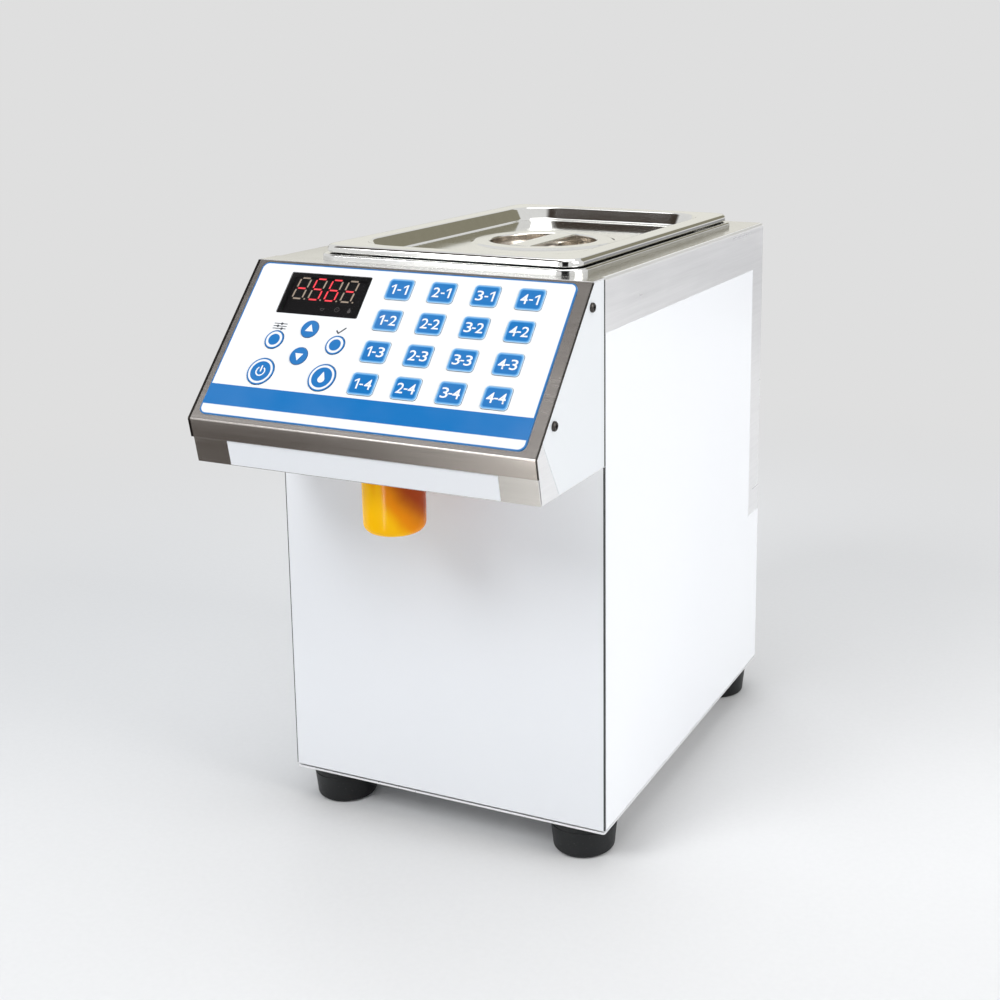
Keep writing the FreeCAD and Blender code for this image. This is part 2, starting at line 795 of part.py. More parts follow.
def rear_panel():
    plate = block("rear_plate", ("rear_margin - half_width", "body_depth", "shell_foot"),
                  ("body_width - 2 * rear_margin", "sheet_gauge", "shell_height - rear_margin"))
    vents = [block(f"rear_vent_{word}_{i}",
                   (f"{side} * vent_spread / 2 - vent_width / 2", "body_depth - overrun",
                    f"vent_height_above_bench + {i} * vent_pitch"),
                   ("vent_width", "2 * overrun", "vent_height"))
             for side, word in zip(LEFT_AND_RIGHT, ("left", "right")) for i in range(VENT_ROWS)]
    inlet = block("rear_inlet_hole",
                  ("inlet_offset - inlet_width / 2 - inlet_fit", "body_depth - overrun",
                   "inlet_height - inlet_tall / 2 - inlet_fit"),
                  ("inlet_width + 2 * inlet_fit", "2 * overrun", "inlet_tall + 2 * inlet_fit"))
    return cut("rear_panel_cut", plate, inlet, *vents, *rear_screw_holes("rear"))


# White film

def side_film(side, word):
    """Stepped film that leaves a bare band under the roof and down the rear edge."""
    rear_low = "body_depth - bend_radius"
    film = prism("side_film_" + word, "YZ_Plane", [
        ("shell_front", "shell_foot"), ("shell_front", "deck_height - bare_band_height"),
        ("body_depth - bare_strip_width", "deck_height - bare_band_height"),
        ("body_depth - bare_strip_width", "deck_height - bare_strip_length"),
        (rear_low, "deck_height - bare_strip_length"), (rear_low, "shell_foot")], "film_gauge")
    middle = "half_width + film_gauge / 2"
    film.setExpression("Placement.Base.x", words(middle if side > 0 else f"-({middle})"))
    return film


def front_film():
    return block("front_film", ("film_margin - half_width", "-film_gauge", "shell_foot + film_margin"),
                 ("body_width - 2 * film_margin", "film_gauge",
                  "console_floor - shell_foot - 2 * film_margin"))


def lip_point(along, out):
    """A point on the lip: a length down from its top corner and a height off its face."""
    return (f"-console_reach + ({along}) * lip_sin - ({out}) * lip_cos",
            f"corner_height - ({along}) * lip_cos - ({out}) * lip_sin")


def lip_film():
    top = "panel_flange + film_margin"
    low = "lip_length - film_margin"
    return prism("lip_film", "YZ_Plane", [
        lip_point(top, "0"), lip_point(top, "film_gauge"), lip_point(low, "film_gauge"), lip_point(low, "0")],
        "body_width - 2 * lip_bare_width")


def cheek_film(side, word):
    """Film on the cheek, which leaves a bare corner that widens downwards."""
    top_drop = "(bare_corner_top_width * slope_fall / slope_run)"
    film = prism("cheek_film_" + word, "YZ_Plane", [
        ("-film_margin", "console_floor + film_margin"),
        ("bare_corner_width - lip_reach", "console_floor + film_margin"),
        ("2 * bare_corner_top_width - console_reach", f"corner_height + 2 * {top_drop}"),
        ("-brow_reach", "roof_under"), ("-film_margin", "roof_under")], "film_gauge")
    middle = "half_width + film_gauge / 2"
    film.setExpression("Placement.Base.x", words(middle if side > 0 else f"-({middle})"))
    holes = [rod(f"film_hole_{word}_{i}", "case_screw_radius + screw_clearance", "film_gauge + 2 * overrun",
                 (f"{side} * half_width - {side} * overrun", y, z), ACROSS * side)
             for i, (y, z) in enumerate(cheek_screw_places())]
    return cut("cheek_film_cut_" + word, film, *holes)


# Key panel, drawn flat: X across, Y up the slope from its top edge, Z out of the panel

def key_table():
    """Every key: its name, its half sizes or radius, and its middle on the panel."""
    keys = []
    for column in range(KEY_COLUMNS):
        for row in range(KEY_ROWS):
            keys.append((f"key_{column + 1}_{row + 1}", None,
                         f"{column} * key_pitch_across - key_block_offset",
                         f"-key_block_drop - {row} * key_pitch_down"))
    left = "-control_offset - control_pitch"
    right = "control_pitch - control_offset"
    keys.append(("key_up", "arrow_key_radius", "-control_offset", "-arrow_key_drop"))
    keys.append(("key_down", "arrow_key_radius", "-control_offset", "-arrow_key_drop - arrow_key_pitch"))
    keys.append(("key_setting", "small_key_radius", left, "-small_key_drop"))
    keys.append(("key_save", "small_key_radius", right, "-small_key_drop"))
    keys.append(("key_power", "large_key_radius", left, "-large_key_drop"))
    keys.append(("key_dose", "large_key_radius", right, "-large_key_drop"))
    return keys


def key_pad(name, radius, x, y, low, thickness, grow="0"):
    """The outline of one key as a plate, grown by a gap where it is a hole for the key."""
    if radius:
        return rod(name, f"{radius} + {grow}", thickness, (x, y, low))
    return rounded(name, (f"{x} - key_width / 2 - {grow}", f"{y} - key_height / 2 - {grow}", low),
                   (f"key_width + 2 * {grow}", f"key_height + 2 * {grow}", thickness), f"key_corner + {grow}")


def key(name, radius, x, y):
    """A key of two pieces: the pad with its plunger, and the stem of its switch."""
    pad = key_pad(name + "_pad", radius, x, y, "key_under", "key_gauge")
    plunger = rod(name + "_plunger", "plunger_radius", "key_under + key_gauge / 2 - plunger_end",
                  (x, y, "plunger_end"))
    stem = rod(name + "_stem", "stem_radius", "stem_rise + stem_seat", (x, y, "switch_top - stem_seat"))
    return group(name, join(name + "_join", pad, plunger), stem)


def panel_plate():
    plate = prism("plate", "YZ_Plane", [
        ("0", "0"), ("-slope_length", "0"),
        ("-slope_length - panel_flange * turn_cos", "-panel_flange * turn_sin"),
        ("-slope_length - panel_flange * turn_cos - panel_gauge * turn_sin",
         "panel_gauge * turn_cos - panel_flange * turn_sin"),
        ("-slope_length - panel_gauge * turn_half_tan", "panel_gauge"), ("0", "panel_gauge")], "panel_width")
    low = number("slope_length")

    def outer_bend(edge):
        middle = edge.BoundBox.Center
        return runs_along(edge, ACROSS) and middle.y < -low and middle.z > number("panel_gauge") / 2

    round_edges(plate, "panel_bend", outer_bend)
    holes = [rod(name + "_plate_hole", "plunger_radius + plunger_gap", "panel_gauge + 2 * overrun",
                 (x, y, "-overrun")) for name, radius, x, y in key_table()]
    window = block("plate_window", ("lens_left + display_ledge", "lens_low + display_ledge", "-overrun"),
                   ("display_width - 2 * display_ledge", "display_height - 2 * display_ledge",
                    "panel_gauge + 2 * overrun"))
    return cut("panel_plate_cut", plate, window, *holes)


def panel_overlay():
    sheet_body = rounded("overlay", ("overlay_left", "overlay_low", "panel_gauge"),
                         ("overlay_width", "overlay_height", "overlay_gauge"), "overlay_corner")
    holes = [key_pad(name + "_overlay_hole", radius, x, y, "panel_gauge - overrun",
                     "overlay_gauge + 2 * overrun", "key_gap") for name, radius, x, y in key_table()]
    window = rounded("overlay_window",
                     ("lens_left - lens_gap", "lens_low - lens_gap", "panel_gauge - overrun"),
                     ("display_width + 2 * lens_gap", "display_height + 2 * lens_gap",
                      "overlay_gauge + 2 * overrun"), "display_corner + lens_gap")
    return cut("panel_overlay_cut", sheet_body, window, *holes)


def display_window():
    return rounded("lens", ("lens_left", "lens_low", "panel_gauge"),
                   ("display_width", "display_height", "lens_gauge"), "display_corner")


def display_module():
    return block("module", ("-display_offset - module_width / 2",
                            "-display_drop - display_height / 2 - module_height / 2", "-board_setback"),
                 ("module_width", "module_height", "board_setback - module_gap"))


def control_board():
    """The board with a housing under each key, and three relays on its back."""
    board = rounded("board", ("-board_width / 2", "-board_top_gap - board_height", "-board_back"),
                    ("board_width", "board_height", "board_gauge"), "board_corner")
    drilled = cut("board_drilled", board, *[
        rod(f"board_hole_{i}", "board_screw_radius + screw_clearance", "board_gauge + 2 * overrun",
            (x, y, "-board_back - overrun")) for i, (x, y) in enumerate(post_places())])
    housings = []
    for name, radius, x, y in key_table():
        body = block(name + "_switch", (f"{x} - switch_width / 2", f"{y} - switch_width / 2", "-board_setback"),
                     ("switch_width", "switch_width", "switch_height"))
        bore = rod(name + "_switch_bore", "stem_radius + stem_clearance", "switch_bore + overrun",
                   (x, y, "switch_top - switch_bore"))
        housings.append(cut(name + "_housing", body, bore))
    relays = [block(f"relay_{i}", (f"{i} * 2 * relay_width", "-board_height / 2 - relay_depth / 2",
                                   "-board_back - relay_height"),
                    ("relay_width", "relay_depth", "relay_height")) for i in range(-1, 2)]
    return group("control_board_group", drilled, *housings, *relays)


def post_places():
    across = "board_width / 2 - post_inset"
    top = "-board_top_gap - post_inset"
    low = "post_inset - board_top_gap - board_height"
    return [(x, y) for x in (f"-({across})", across) for y in (top, low)]


def board_posts():
    """Four posts on the panel and the screws that hold the board to them."""
    pieces = []
    for i, (x, y) in enumerate(post_places()):
        post = rod(f"post_{i}", "post_radius", "board_setback", (x, y, "-board_setback"))
        bore = rod(f"post_bore_{i}", "board_screw_radius + stem_clearance", "board_screw_length",
                   (x, y, "-board_setback - board_gauge"))
        pieces.append(cut(f"post_cut_{i}", post, bore))
        head = rod(f"board_screw_head_{i}", "board_screw_head_radius", "board_screw_head",
                   (x, y, "-board_back - board_screw_head"))
        shank = rod(f"board_screw_shank_{i}", "board_screw_radius",
                    "board_screw_length - stem_clearance + board_screw_head",
                    (x, y, "-board_back - board_screw_head"))
        pieces.append(join(f"board_screw_{i}", head, shank))
    return group("board_posts_group", *pieces)


# Syrup pan and lid

def syrup_pan():
    rim = rounded("rim", ("rim_left", "-rim_reach", "deck_height"),
                  ("rim_width", "rim_length", "rim_height"), "rim_corner")
    under = rounded("rim_under", ("rim_left + pan_gauge", "pan_gauge - rim_reach", "deck_height - overrun"),
                    ("rim_width - 2 * pan_gauge", "rim_length - 2 * pan_gauge",
                     "rim_height - pan_gauge + overrun"), "rim_corner - pan_gauge")
    tub = rounded("tub", ("tub_left", "tub_front", "tub_under"),
                  ("tub_width", "tub_length", "rim_top - tub_under"), "pan_corner")
    soften_bottom(tub, "pan_floor_edge")
    hollow = rounded("tub_hollow",
                     ("tub_left + pan_gauge", "tub_front + pan_gauge", "tub_under + pan_gauge"),
                     ("tub_width - 2 * pan_gauge", "tub_length - 2 * pan_gauge",
                      "rim_top - tub_under + overrun"), "pan_corner - pan_gauge")
    soften_bottom(hollow, "pan_floor_edge - pan_gauge")
    drain = rod("pan_drain", "barb_bore", "pan_gauge + 2 * overrun",
                ("pan_offset", "port_y", "tub_under - overrun"))
    return cut("syrup_pan_cut", join("pan_join", cut("rim_shell", rim, under), tub), hollow, drain)


def pan_outlet():
    low = "tub_under - outlet_length"
    stub = turned("outlet", [
        ("barb_bore", low), ("barb_radius", low), ("barb_radius", "tub_under - outlet_pad_gauge"),
        ("outlet_pad_radius", "tub_under - outlet_pad_gauge"), ("outlet_pad_radius", "tub_under"),
        ("barb_bore", "tub_under")])
    put(stub, "pan_offset", "port_y", "0")
    return group("pan_outlet_group", stub)


def lid():
    plate = rounded("lid_plate", ("lid_left", "lid_front", "rim_top"),
                    ("lid_width", "lid_length", "lid_skirt"), "rim_corner - lid_margin")
    round_edges(plate, "lid_gauge", lambda edge: edge.BoundBox.ZMin > number("lid_skirt") - number("film_gauge"))
    under = rounded("lid_under", ("lid_left + lid_gauge", "lid_front + lid_gauge", "rim_top - overrun"),
                    ("lid_width - 2 * lid_gauge", "lid_length - 2 * lid_gauge",
                     "lid_skirt - lid_gauge + overrun"), "rim_corner - lid_margin - lid_gauge")
    pressed_out = recess_block("lid_pressing", "lid_gauge", "lid_recess + lid_gauge")
    pressed_in = recess_block("lid_recess_tool", "0", "lid_recess")
    bowl_out = bowl_block("bowl_out", "bowl_radius + lid_gauge", "bowl_floor - lid_gauge",
                          "bowl_depth + lid_gauge", "bowl_edge + lid_gauge")
    bowl_in = bowl_block("bowl_in", "bowl_radius", "bowl_floor", "bowl_depth + lid_gauge + overrun",
                         "bowl_edge")
    ring = turned("lid_ring", [
        ("bowl_radius", "recess_floor - lid_gauge / 2"), ("ring_radius", "recess_floor - lid_gauge / 2"),
        ("ring_radius", "recess_floor"), ("ring_radius - ring_rise", "recess_floor + ring_rise"),
        ("bowl_radius", "recess_floor + ring_rise")])
    put(ring, "pan_offset", "lid_middle", "0")
    shell = join("lid_shell", cut("lid_rim", plate, under), pressed_out, bowl_out)
    return cut("lid_cut", join("lid_ringed", cut("lid_pressed", shell, pressed_in), ring), bowl_in)


def recess_block(name, grow, depth):
    """The lid's recess as a solid: its walls lean inwards from its top face."""
    body = rounded(name, (f"lid_left + lid_flange - {grow}", f"lid_front + lid_flange - {grow}",
                          "recess_floor - lid_gauge" if grow != "0" else "recess_floor"),
                   (f"lid_width - 2 * lid_flange + 2 * {grow}", f"lid_length - 2 * lid_flange + 2 * {grow}",
                    depth), f"recess_corner + {grow}")
    block_shape = body.Tip
    top = block_shape.Shape.BoundBox.ZMax
    draft = body.newObject("PartDesign::Draft", name + "_draft")
    draft.Base = (block_shape, faces_where(block_shape, lambda box: box.ZMax - box.ZMin > top / 2))
    draft.NeutralPlane = (block_shape, faces_where(block_shape, lambda box: box.ZMin > top / 2))
    draft.Reversed = True
    bind(draft, Angle="recess_draft")
    doc.recompute()
    return soften_bottom(body, f"recess_edge + {grow}")


def faces_where(feature, chosen):
    return [f"Face{i}" for i, face in enumerate(feature.Shape.Faces, 1) if chosen(face.BoundBox)]


def bowl_block(name, radius, low, height, edge_radius):
    body = turned(name, [("0", "0"), (radius, "0"), (radius, height), ("0", height)])
    round_edges(body, edge_radius, lambda edge: edge.BoundBox.ZMax < number("film_gauge"))
    put(body, "pan_offset", "lid_middle", low)
    return body


def lid_handle():
    """A strap with folded sides across the bowl, from front to rear."""
    length = "2 * sqrt(bowl_radius ^ 2 - (strap_width / 2) ^ 2) - 2 * strap_fit"
    top = "recess_floor + ring_rise - strap_gauge"
    front = f"lid_middle - ({length}) / 2"
    deck = block("strap", ("pan_offset - strap_width / 2", front, top),
                 ("strap_width", length, "strap_gauge"))
    folds = mirrored_pairs(lambda side, word: block(
        "strap_fold_" + word,
        ("pan_offset + strap_width / 2 - strap_gauge" if side > 0 else "pan_offset - strap_width / 2",
         front, "recess_floor + ring_rise - strap_fold"), ("strap_gauge", length, "strap_fold")))
    return join("lid_handle_join", deck, *folds)


# Hoses and leads

def tube_path(points, diameter, title):
    """Straight runs joined by tangent arcs, each as large as its two runs allow."""
    edges = []
    start = points[0]
    for before, corner, after in zip(points, points[1:], points[2:]):
        back = before - corner
        ahead = after - corner
        shorter = min(back.Length, ahead.Length)
        half_turn = (math.pi - back.getAngle(ahead)) / 2
        radius = ARC_SHARE * shorter / math.tan(half_turn)
        setback = ARC_SHARE * shorter
        into = corner + back.normalize() * setback
        out_of = corner + ahead.normalize() * setback
        inward = (back + ahead).normalize()
        centre_way = math.sqrt(radius * radius + setback * setback)
        middle = corner + inward * (centre_way - radius)
        edges.append(Part.LineSegment(start, into).toShape())
        edges.append(Part.Arc(into, middle, out_of).toShape())
        print(f"{title}: bend radius {radius:.1f}, {radius / diameter:.1f} diameters")
        start = out_of
    edges.append(Part.LineSegment(start, points[-1]).toShape())
    return Part.Wire(edges)


def tube(name, points, radius, bore=0):
    """A round tube along the path, hollow if it has a bore."""
    path = tube_path(points, 2 * radius, name)
    along = points[1] - points[0]

    def swept(size):
        circle = Part.Wire(Part.makeCircle(size, points[0], along))
        return Part.BRepOffsetAPI.MakePipeShell(path), circle

    def solid(size):
        shell, circle = swept(size)
        shell.add(circle)
        shell.build()
        shell.makeSolid()
        return shell.shape()

    shape = solid(radius)
    if bore:
        shape = shape.cut(solid(bore))
    section = math.pi * (radius * radius - bore * bore)
    print(f"{name}: volume {shape.Volume:.0f}, section by length {section * path.Length:.0f}")
    item = doc.addObject("Part::Feature", name)
    item.Shape = shape
    return item


def suction_hose():
    x = number("pan_offset")
    y = number("port_y")
    top = number("tub_under") - number("outlet_length") + number("hose_overlap")
    low = number("elbow_top") - number("hose_overlap")
    length = top - low
    item = doc.addObject("Part::Feature", "suction_tube")
    outer = Part.makeCylinder(number("hose_radius"), length, FreeCAD.Vector(x, y, low))
    inner = Part.makeCylinder(number("hose_bore"), length, FreeCAD.Vector(x, y, low))
    item.Shape = outer.cut(inner)
    return item


def delivery_points():
    """From the pump's left elbow up beside the pan, forward into the console, to the nozzle."""
    x = -number("pump_offset") - number("left_reach")
    y = number("port_y")
    rise = number("nozzle_barb_height")
    reach = -number("nozzle_reach")
    end = number("hose_overlap") - number("nozzle_barb_length")
    return [FreeCAD.Vector(x, y, number("elbow_top") - number("hose_overlap")),
            FreeCAD.Vector(x, y, rise), FreeCAD.Vector(x, reach, rise), FreeCAD.Vector(end, reach, rise)]


def delivery_hose():
    return tube("delivery_tube", delivery_points(), number("hose_radius"), number("hose_bore"))


def hose_clip(name, centre, along):
    """A spring band round a hose end, with its two ears."""
    radius = number("hose_radius")
    gauge = number("clip_gauge")
    width = number("clip_width")
    start = centre - along * (width / 2)
    band = Part.makeCylinder(radius + gauge, width, start, along)
    ear_way = ACROSS.cross(along) if abs(along.dot(ACROSS)) < abs(along.dot(UP)) else REARWARD
    ear = Part.makeBox(width, gauge, number("clip_ear") + gauge)
    ear.Placement = FreeCAD.Placement(start + ear_way * radius,
                                      FreeCAD.Rotation(along, REARWARD, ear_way, "XZY"))
    clip = band.fuse(ear).cut(Part.makeCylinder(radius, width, start, along))
    item = doc.addObject("Part::Feature", name)
    item.Shape = clip
    return item


def hose_clips():
    half = number("hose_overlap") / 2
    bottom = number("elbow_top") - half
    y = number("port_y")
    left = -number("pump_offset") - number("left_reach")
    stub = number("tub_under") - number("outlet_length") + half
    nozzle = half - number("nozzle_barb_length")
    return group("hose_clips_group",
                 hose_clip("clip_pan", FreeCAD.Vector(number("pan_offset"), y, stub), UP),
                 hose_clip("clip_suction", FreeCAD.Vector(number("pan_offset"), y, bottom), UP),
                 hose_clip("clip_delivery", FreeCAD.Vector(left, y, bottom), UP),
                 hose_clip("clip_nozzle", FreeCAD.Vector(nozzle, -number("nozzle_reach"),
                                                         number("nozzle_barb_height")), ACROSS))


def wiring():
    """Leads from the supply to the motor, to the inlet and up to the control board."""
    radius = number("lead_radius")
    height = number("lead_height")
    motor_x = -number("pump_offset")
    motor_rear = number("motor_front") + number("motor_length")
    axis = number("drive_height")
    left = number("supply_left")
    turn_y = motor_rear + number("motor_lead_run")
    motor_lead = tube("motor_lead", [
        FreeCAD.Vector(motor_x, motor_rear, axis), FreeCAD.Vector(motor_x, turn_y, axis),
        FreeCAD.Vector(motor_x, turn_y, height), FreeCAD.Vector(left, turn_y, height)], radius)
    supply_rear = number("supply_front") + number("supply_length")
    inlet_front = number("body_depth") - number("inlet_depth")
    inlet_low = number("inlet_height") - number("inlet_tall") / 2 + 2 * radius
    mains_lead = tube("mains_lead", [
        FreeCAD.Vector(number("inlet_offset"), supply_rear, inlet_low),
        FreeCAD.Vector(number("inlet_offset"), inlet_front, inlet_low)], radius)
    wall = number("lead_wall_gap") - number("shell_inside")
    rear = number("lead_rear")
    rise = number("lead_rise")
    tilt = FreeCAD.Vector(0, -number("slope_sin"), number("slope_cos"))
    down = FreeCAD.Vector(0, -number("slope_cos"), -number("slope_sin"))
    corner = FreeCAD.Vector(-number("board_lead_offset"), -number("brow_reach"), number("roof_under"))
    end = corner + down * number("board_lead_drop") - tilt * number("board_back")
    before = end - tilt * number("board_lead_run")
    control_lead = tube("control_lead", [
        FreeCAD.Vector(left, rear, height), FreeCAD.Vector(wall, rear, height),
        FreeCAD.Vector(wall, rear, rise), FreeCAD.Vector(wall, before.y + number("board_lead_run"), rise),
        before, end], radius)
    return group("wiring_group", motor_lead, mains_lead, control_lead)


# Gear pump and motor

def pump_body():
    middle = "-pump_offset"
    base = "port_height - pump_height / 2"
    case = block("pump_case", ("-pump_offset - pump_width / 2", "pump_front", base),
                 ("pump_width", "pump_depth", "pump_height"))
    tubes = []
    bores = []
    for side, word in zip(LEFT_AND_RIGHT, ("left", "right")):
        reach = word + "_reach"
        end = f"{side} * {reach} - pump_offset"
        tubes.append(rod("port_" + word, "port_radius", reach, (middle, "port_y", "port_height"),
                         ACROSS * side))
        tubes.append(rod("elbow_" + word, "elbow_radius", "elbow_radius + elbow_rise - hose_overlap",
                         (end, "port_y", "port_height - elbow_radius")))
        tubes.append(rod("barb_" + word, "barb_radius", "elbow_rise", (end, "port_y", "port_height")))
        bores.append(rod("port_bore_" + word, "port_bore", reach, (middle, "port_y", "port_height"),
                         ACROSS * side))
        bores.append(rod("barb_bore_" + word, "barb_bore", "elbow_rise + port_bore + overrun",
                         (end, "port_y", "port_height - port_bore")))
    cavity = [rod("cavity_" + word, "tip_radius + gear_tip_gap", "cavity_depth + overrun",
                  (middle, "pump_front - overrun", height), REARWARD)
              for word, height in (("drive", "drive_height"), ("idler", "idler_height"))]
    through = rod("drive_bearing", "shaft_radius + shaft_clearance", "pump_depth + 2 * overrun",
                  (middle, "pump_front - overrun", "drive_height"), REARWARD)
    blind = rod("idler_bearing", "shaft_radius + shaft_clearance",
                "cavity_depth + shaft_seat + shaft_clearance + overrun",
                (middle, "pump_front - overrun", "idler_height"), REARWARD)
    return cut("pump_body_cut", join("pump_case_join", case, *tubes), *bores, *cavity, through, blind,
               *pump_screw_holes("pump"))


def pump_screw_places():
    across = "pump_width / 2 - pump_screw_inset"
    up = "pump_height / 2 - pump_screw_inset"
    return [(f"{side} * ({across}) - pump_offset", f"port_height + {rise} * ({up})")
            for side in LEFT_AND_RIGHT for rise in LEFT_AND_RIGHT]


def pump_screw_holes(owner):
    return [rod(f"{owner}_screw_hole_{i}", "pump_screw_radius + screw_clearance",
                "cover_gauge + pump_depth + bracket_gauge + 2 * overrun",
                (x, "pump_front - cover_gauge - overrun", z), REARWARD)
            for i, (x, z) in enumerate(pump_screw_places())]


def pump_cover():
    plate = block("cover_plate", ("-pump_offset - pump_width / 2", "pump_front - cover_gauge",
                                  "port_height - pump_height / 2"),
                  ("pump_width", "cover_gauge", "pump_height"))
    seats = [rod("cover_seat_" + word, "shaft_radius + shaft_clearance",
                 "shaft_seat + shaft_clearance + overrun",
                 ("-pump_offset", "pump_front - shaft_seat - shaft_clearance", height), REARWARD)
             for word, height in (("drive", "drive_height"), ("idler", "idler_height"))]
    return cut("pump_cover_cut", plate, *seats, *pump_screw_holes("cover"))


def pump_screw(index, x, z):
    start = "pump_front - cover_gauge"
    length = "cover_gauge + pump_depth + bracket_gauge + pump_screw_head"
    head = rod(f"pump_screw_head_{index}", "pump_screw_head_radius", "pump_screw_head",
               (x, f"{start} - pump_screw_head", z), REARWARD)
    shank = rod(f"pump_screw_shank_{index}", "pump_screw_radius", length,
                (x, f"{start} - pump_screw_head", z), REARWARD)
    return join(f"pump_screw_{index}", head, shank)


def gear_wire(height, phase):
    """An involute gear outline in the X-Z plane, with its tooth middle turned by a phase."""
    module = number("gear_module")
    pitch = module * GEAR_TEETH / 2
    base = pitch * math.cos(PRESSURE_ANGLE)
    tip = pitch + module * ADDENDUM_SHARE
    root = pitch - module * DEDENDUM_SHARE
    inv_pitch = math.tan(PRESSURE_ANGLE) - PRESSURE_ANGLE
    half_tooth = math.pi / GEAR_TEETH / 2 - number("gear_backlash") / 2 / pitch
    flank = []
    for step in range(FLANK_STEPS + 1):
        radius = base + (tip - base) * step / FLANK_STEPS
        roll = math.acos(base / radius)
        flank.append((radius, half_tooth + inv_pitch - (math.tan(roll) - roll)))
    flank.insert(0, (root, flank[0][1]))
    points = []
    for tooth in range(GEAR_TEETH):
        middle = math.tau * tooth / GEAR_TEETH + phase
        polar = [(radius, middle - angle) for radius, angle in flank]
        polar += [(radius, middle + angle) for radius, angle in reversed(flank)]
        points += [FreeCAD.Vector(radius * math.cos(angle), 0, radius * math.sin(angle))
                   for radius, angle in polar]
    points.append(points[0])
    wire = Part.makePolygon(points)
    wire.translate(FreeCAD.Vector(-number("pump_offset"), 0, height))
    return wire


def gear(name, height, phase, rear):
    """A pump gear with its shaft: a seat in the cover, and an end behind the gear."""
    slack = (number("cavity_depth") - number("gear_width")) / 2
    front = number("pump_front") + slack
    wheel = Part.Face(gear_wire(height, phase)).extrude(REARWARD * number("gear_width"))
    wheel.translate(REARWARD * front)
    start = number("pump_front") - number("shaft_seat")
    shaft = Part.makeCylinder(number("shaft_radius"), rear - start,
                              FreeCAD.Vector(-number("pump_offset"), start, height), REARWARD)
    item = doc.addObject("Part::Feature", name)
    item.Shape = wheel.fuse(shaft)
    return item


def drive_gear():
    rear = number("motor_front") + number("drive_shaft_reach")
    return gear("drive_gear_solid", number("drive_height"), math.pi / 2, rear)


def driven_gear():
    rear = number("pump_front") + number("cavity_depth") + number("shaft_seat")
    half_pitch = math.pi / GEAR_TEETH
    return gear("driven_gear_solid", number("idler_height"), -math.pi / 2 + half_pitch, rear)


def pump_motor():
    """A round motor with a stepped end cap and a bore for the shaft."""
    can = rod("motor_can", "motor_radius", "motor_length - motor_cap",
              ("-pump_offset", "motor_front", "drive_height"),
              REARWARD)
    cap = rod("motor_cap", "motor_radius - motor_cap_step", "motor_cap",
              ("-pump_offset", "motor_front + motor_length - motor_cap", "drive_height"), REARWARD)
    bore = rod("motor_bore", "shaft_radius + shaft_clearance", "drive_shaft_reach + shaft_clearance + overrun",
               ("-pump_offset", "motor_front - overrun", "drive_height"), REARWARD)
    return cut("pump_motor_cut", join("motor_join", can, cap), bore)


def pump_bracket():
    plate = block("bracket_plate", ("-pump_offset - bracket_width / 2", "pump_back", "floor_top"),
                  ("bracket_width", "bracket_gauge", "port_height + pump_height / 2 + bracket_head - floor_top"))
    foot = block("bracket_foot", ("-pump_offset - bracket_width / 2", "pump_back", "floor_top"),
                 ("bracket_width", "bracket_foot", "bracket_gauge"))
    bore = rod("bracket_bore", "bracket_bore", "bracket_gauge + 2 * overrun",
               ("-pump_offset", "pump_back - overrun", "drive_height"), REARWARD)
    return cut("pump_bracket_cut", join("bracket_join", plate, foot), bore, *pump_screw_holes("bracket"))


# Outlet

def nozzle():
    """The outlet: flange under the console, tube below it and a side barb above."""
    tip = "console_floor - nozzle_flange_gauge - nozzle_length"
    dome = "nozzle_barb_height + nozzle_dome"
    stem = turned("nozzle_stem", [
        ("0", tip), ("nozzle_radius", tip), ("nozzle_radius", "console_floor - nozzle_flange_gauge"),
        ("nozzle_flange_radius", "console_floor - nozzle_flange_gauge"),
        ("nozzle_flange_radius", "console_floor"), ("nozzle_neck_radius", "console_floor"),
        ("nozzle_neck_radius", dome), ("0", dome)])
    put(stem, "0", "-nozzle_reach", "0")
    barb = rod("nozzle_barb", "barb_radius", "nozzle_barb_length", ("0", "-nozzle_reach", "nozzle_barb_height"),
               ACROSS * -1)
    bore = rod("nozzle_bore", "nozzle_bore", "nozzle_barb_height - console_floor + nozzle_flange_gauge"
               " + nozzle_length + overrun", ("0", "-nozzle_reach", f"{tip} - overrun"))
    barb_bore = rod("nozzle_barb_bore", "barb_bore", "nozzle_barb_length + overrun",
                    ("0", "-nozzle_reach", "nozzle_barb_height"), ACROSS * -1)
    return cut("nozzle_cut", join("nozzle_join", stem, barb), bore, barb_bore)


def nozzle_nut():
    nut = hexagon("nut", "nut_radius", "nut_height", ("0", "-nozzle_reach", "console_floor_top"))
    bore = rod("nut_bore", "nozzle_neck_radius + stem_clearance", "nut_height + 2 * overrun",
               ("0", "-nozzle_reach", "console_floor_top - overrun"))
    return cut("nozzle_nut_cut", nut, bore)


def nozzle_cap():
    """A soft cup over the outlet, with a small nib in the middle of its bottom."""
    cup = turned("cup", [("0", "cap_base"), ("cap_radius", "cap_base"),
                         ("cap_radius", "cap_top"), ("0", "cap_top")])
    low = number("cap_base")
    round_edges(cup, "cap_edge", lambda edge: edge.BoundBox.ZMax < low + number("film_gauge"))
    hollow = turned("cup_hollow", [
        ("0", "cap_base + cap_wall"), ("cap_bore", "cap_base + cap_wall"), ("cap_bore", "cap_top + overrun"),
        ("0", "cap_top + overrun")])
    round_edges(hollow, "cap_edge - cap_wall",
                lambda edge: edge.BoundBox.ZMax < low + number("cap_wall") + number("film_gauge"))
    nib = turned("nib", [
        ("0", "cap_base - cap_nib_length"), ("cap_nib_radius / 2", "cap_base - cap_nib_length"),
        ("cap_nib_radius", "cap_base"), ("cap_nib_radius", "cap_base + cap_wall / 2"),
        ("0", "cap_base + cap_wall / 2")])
    for piece in (cup, hollow, nib):
        put(piece, "0", "-nozzle_reach", "0")
    return cut("nozzle_cap_cut", join("cap_join", cup, nib), hollow)


# Power

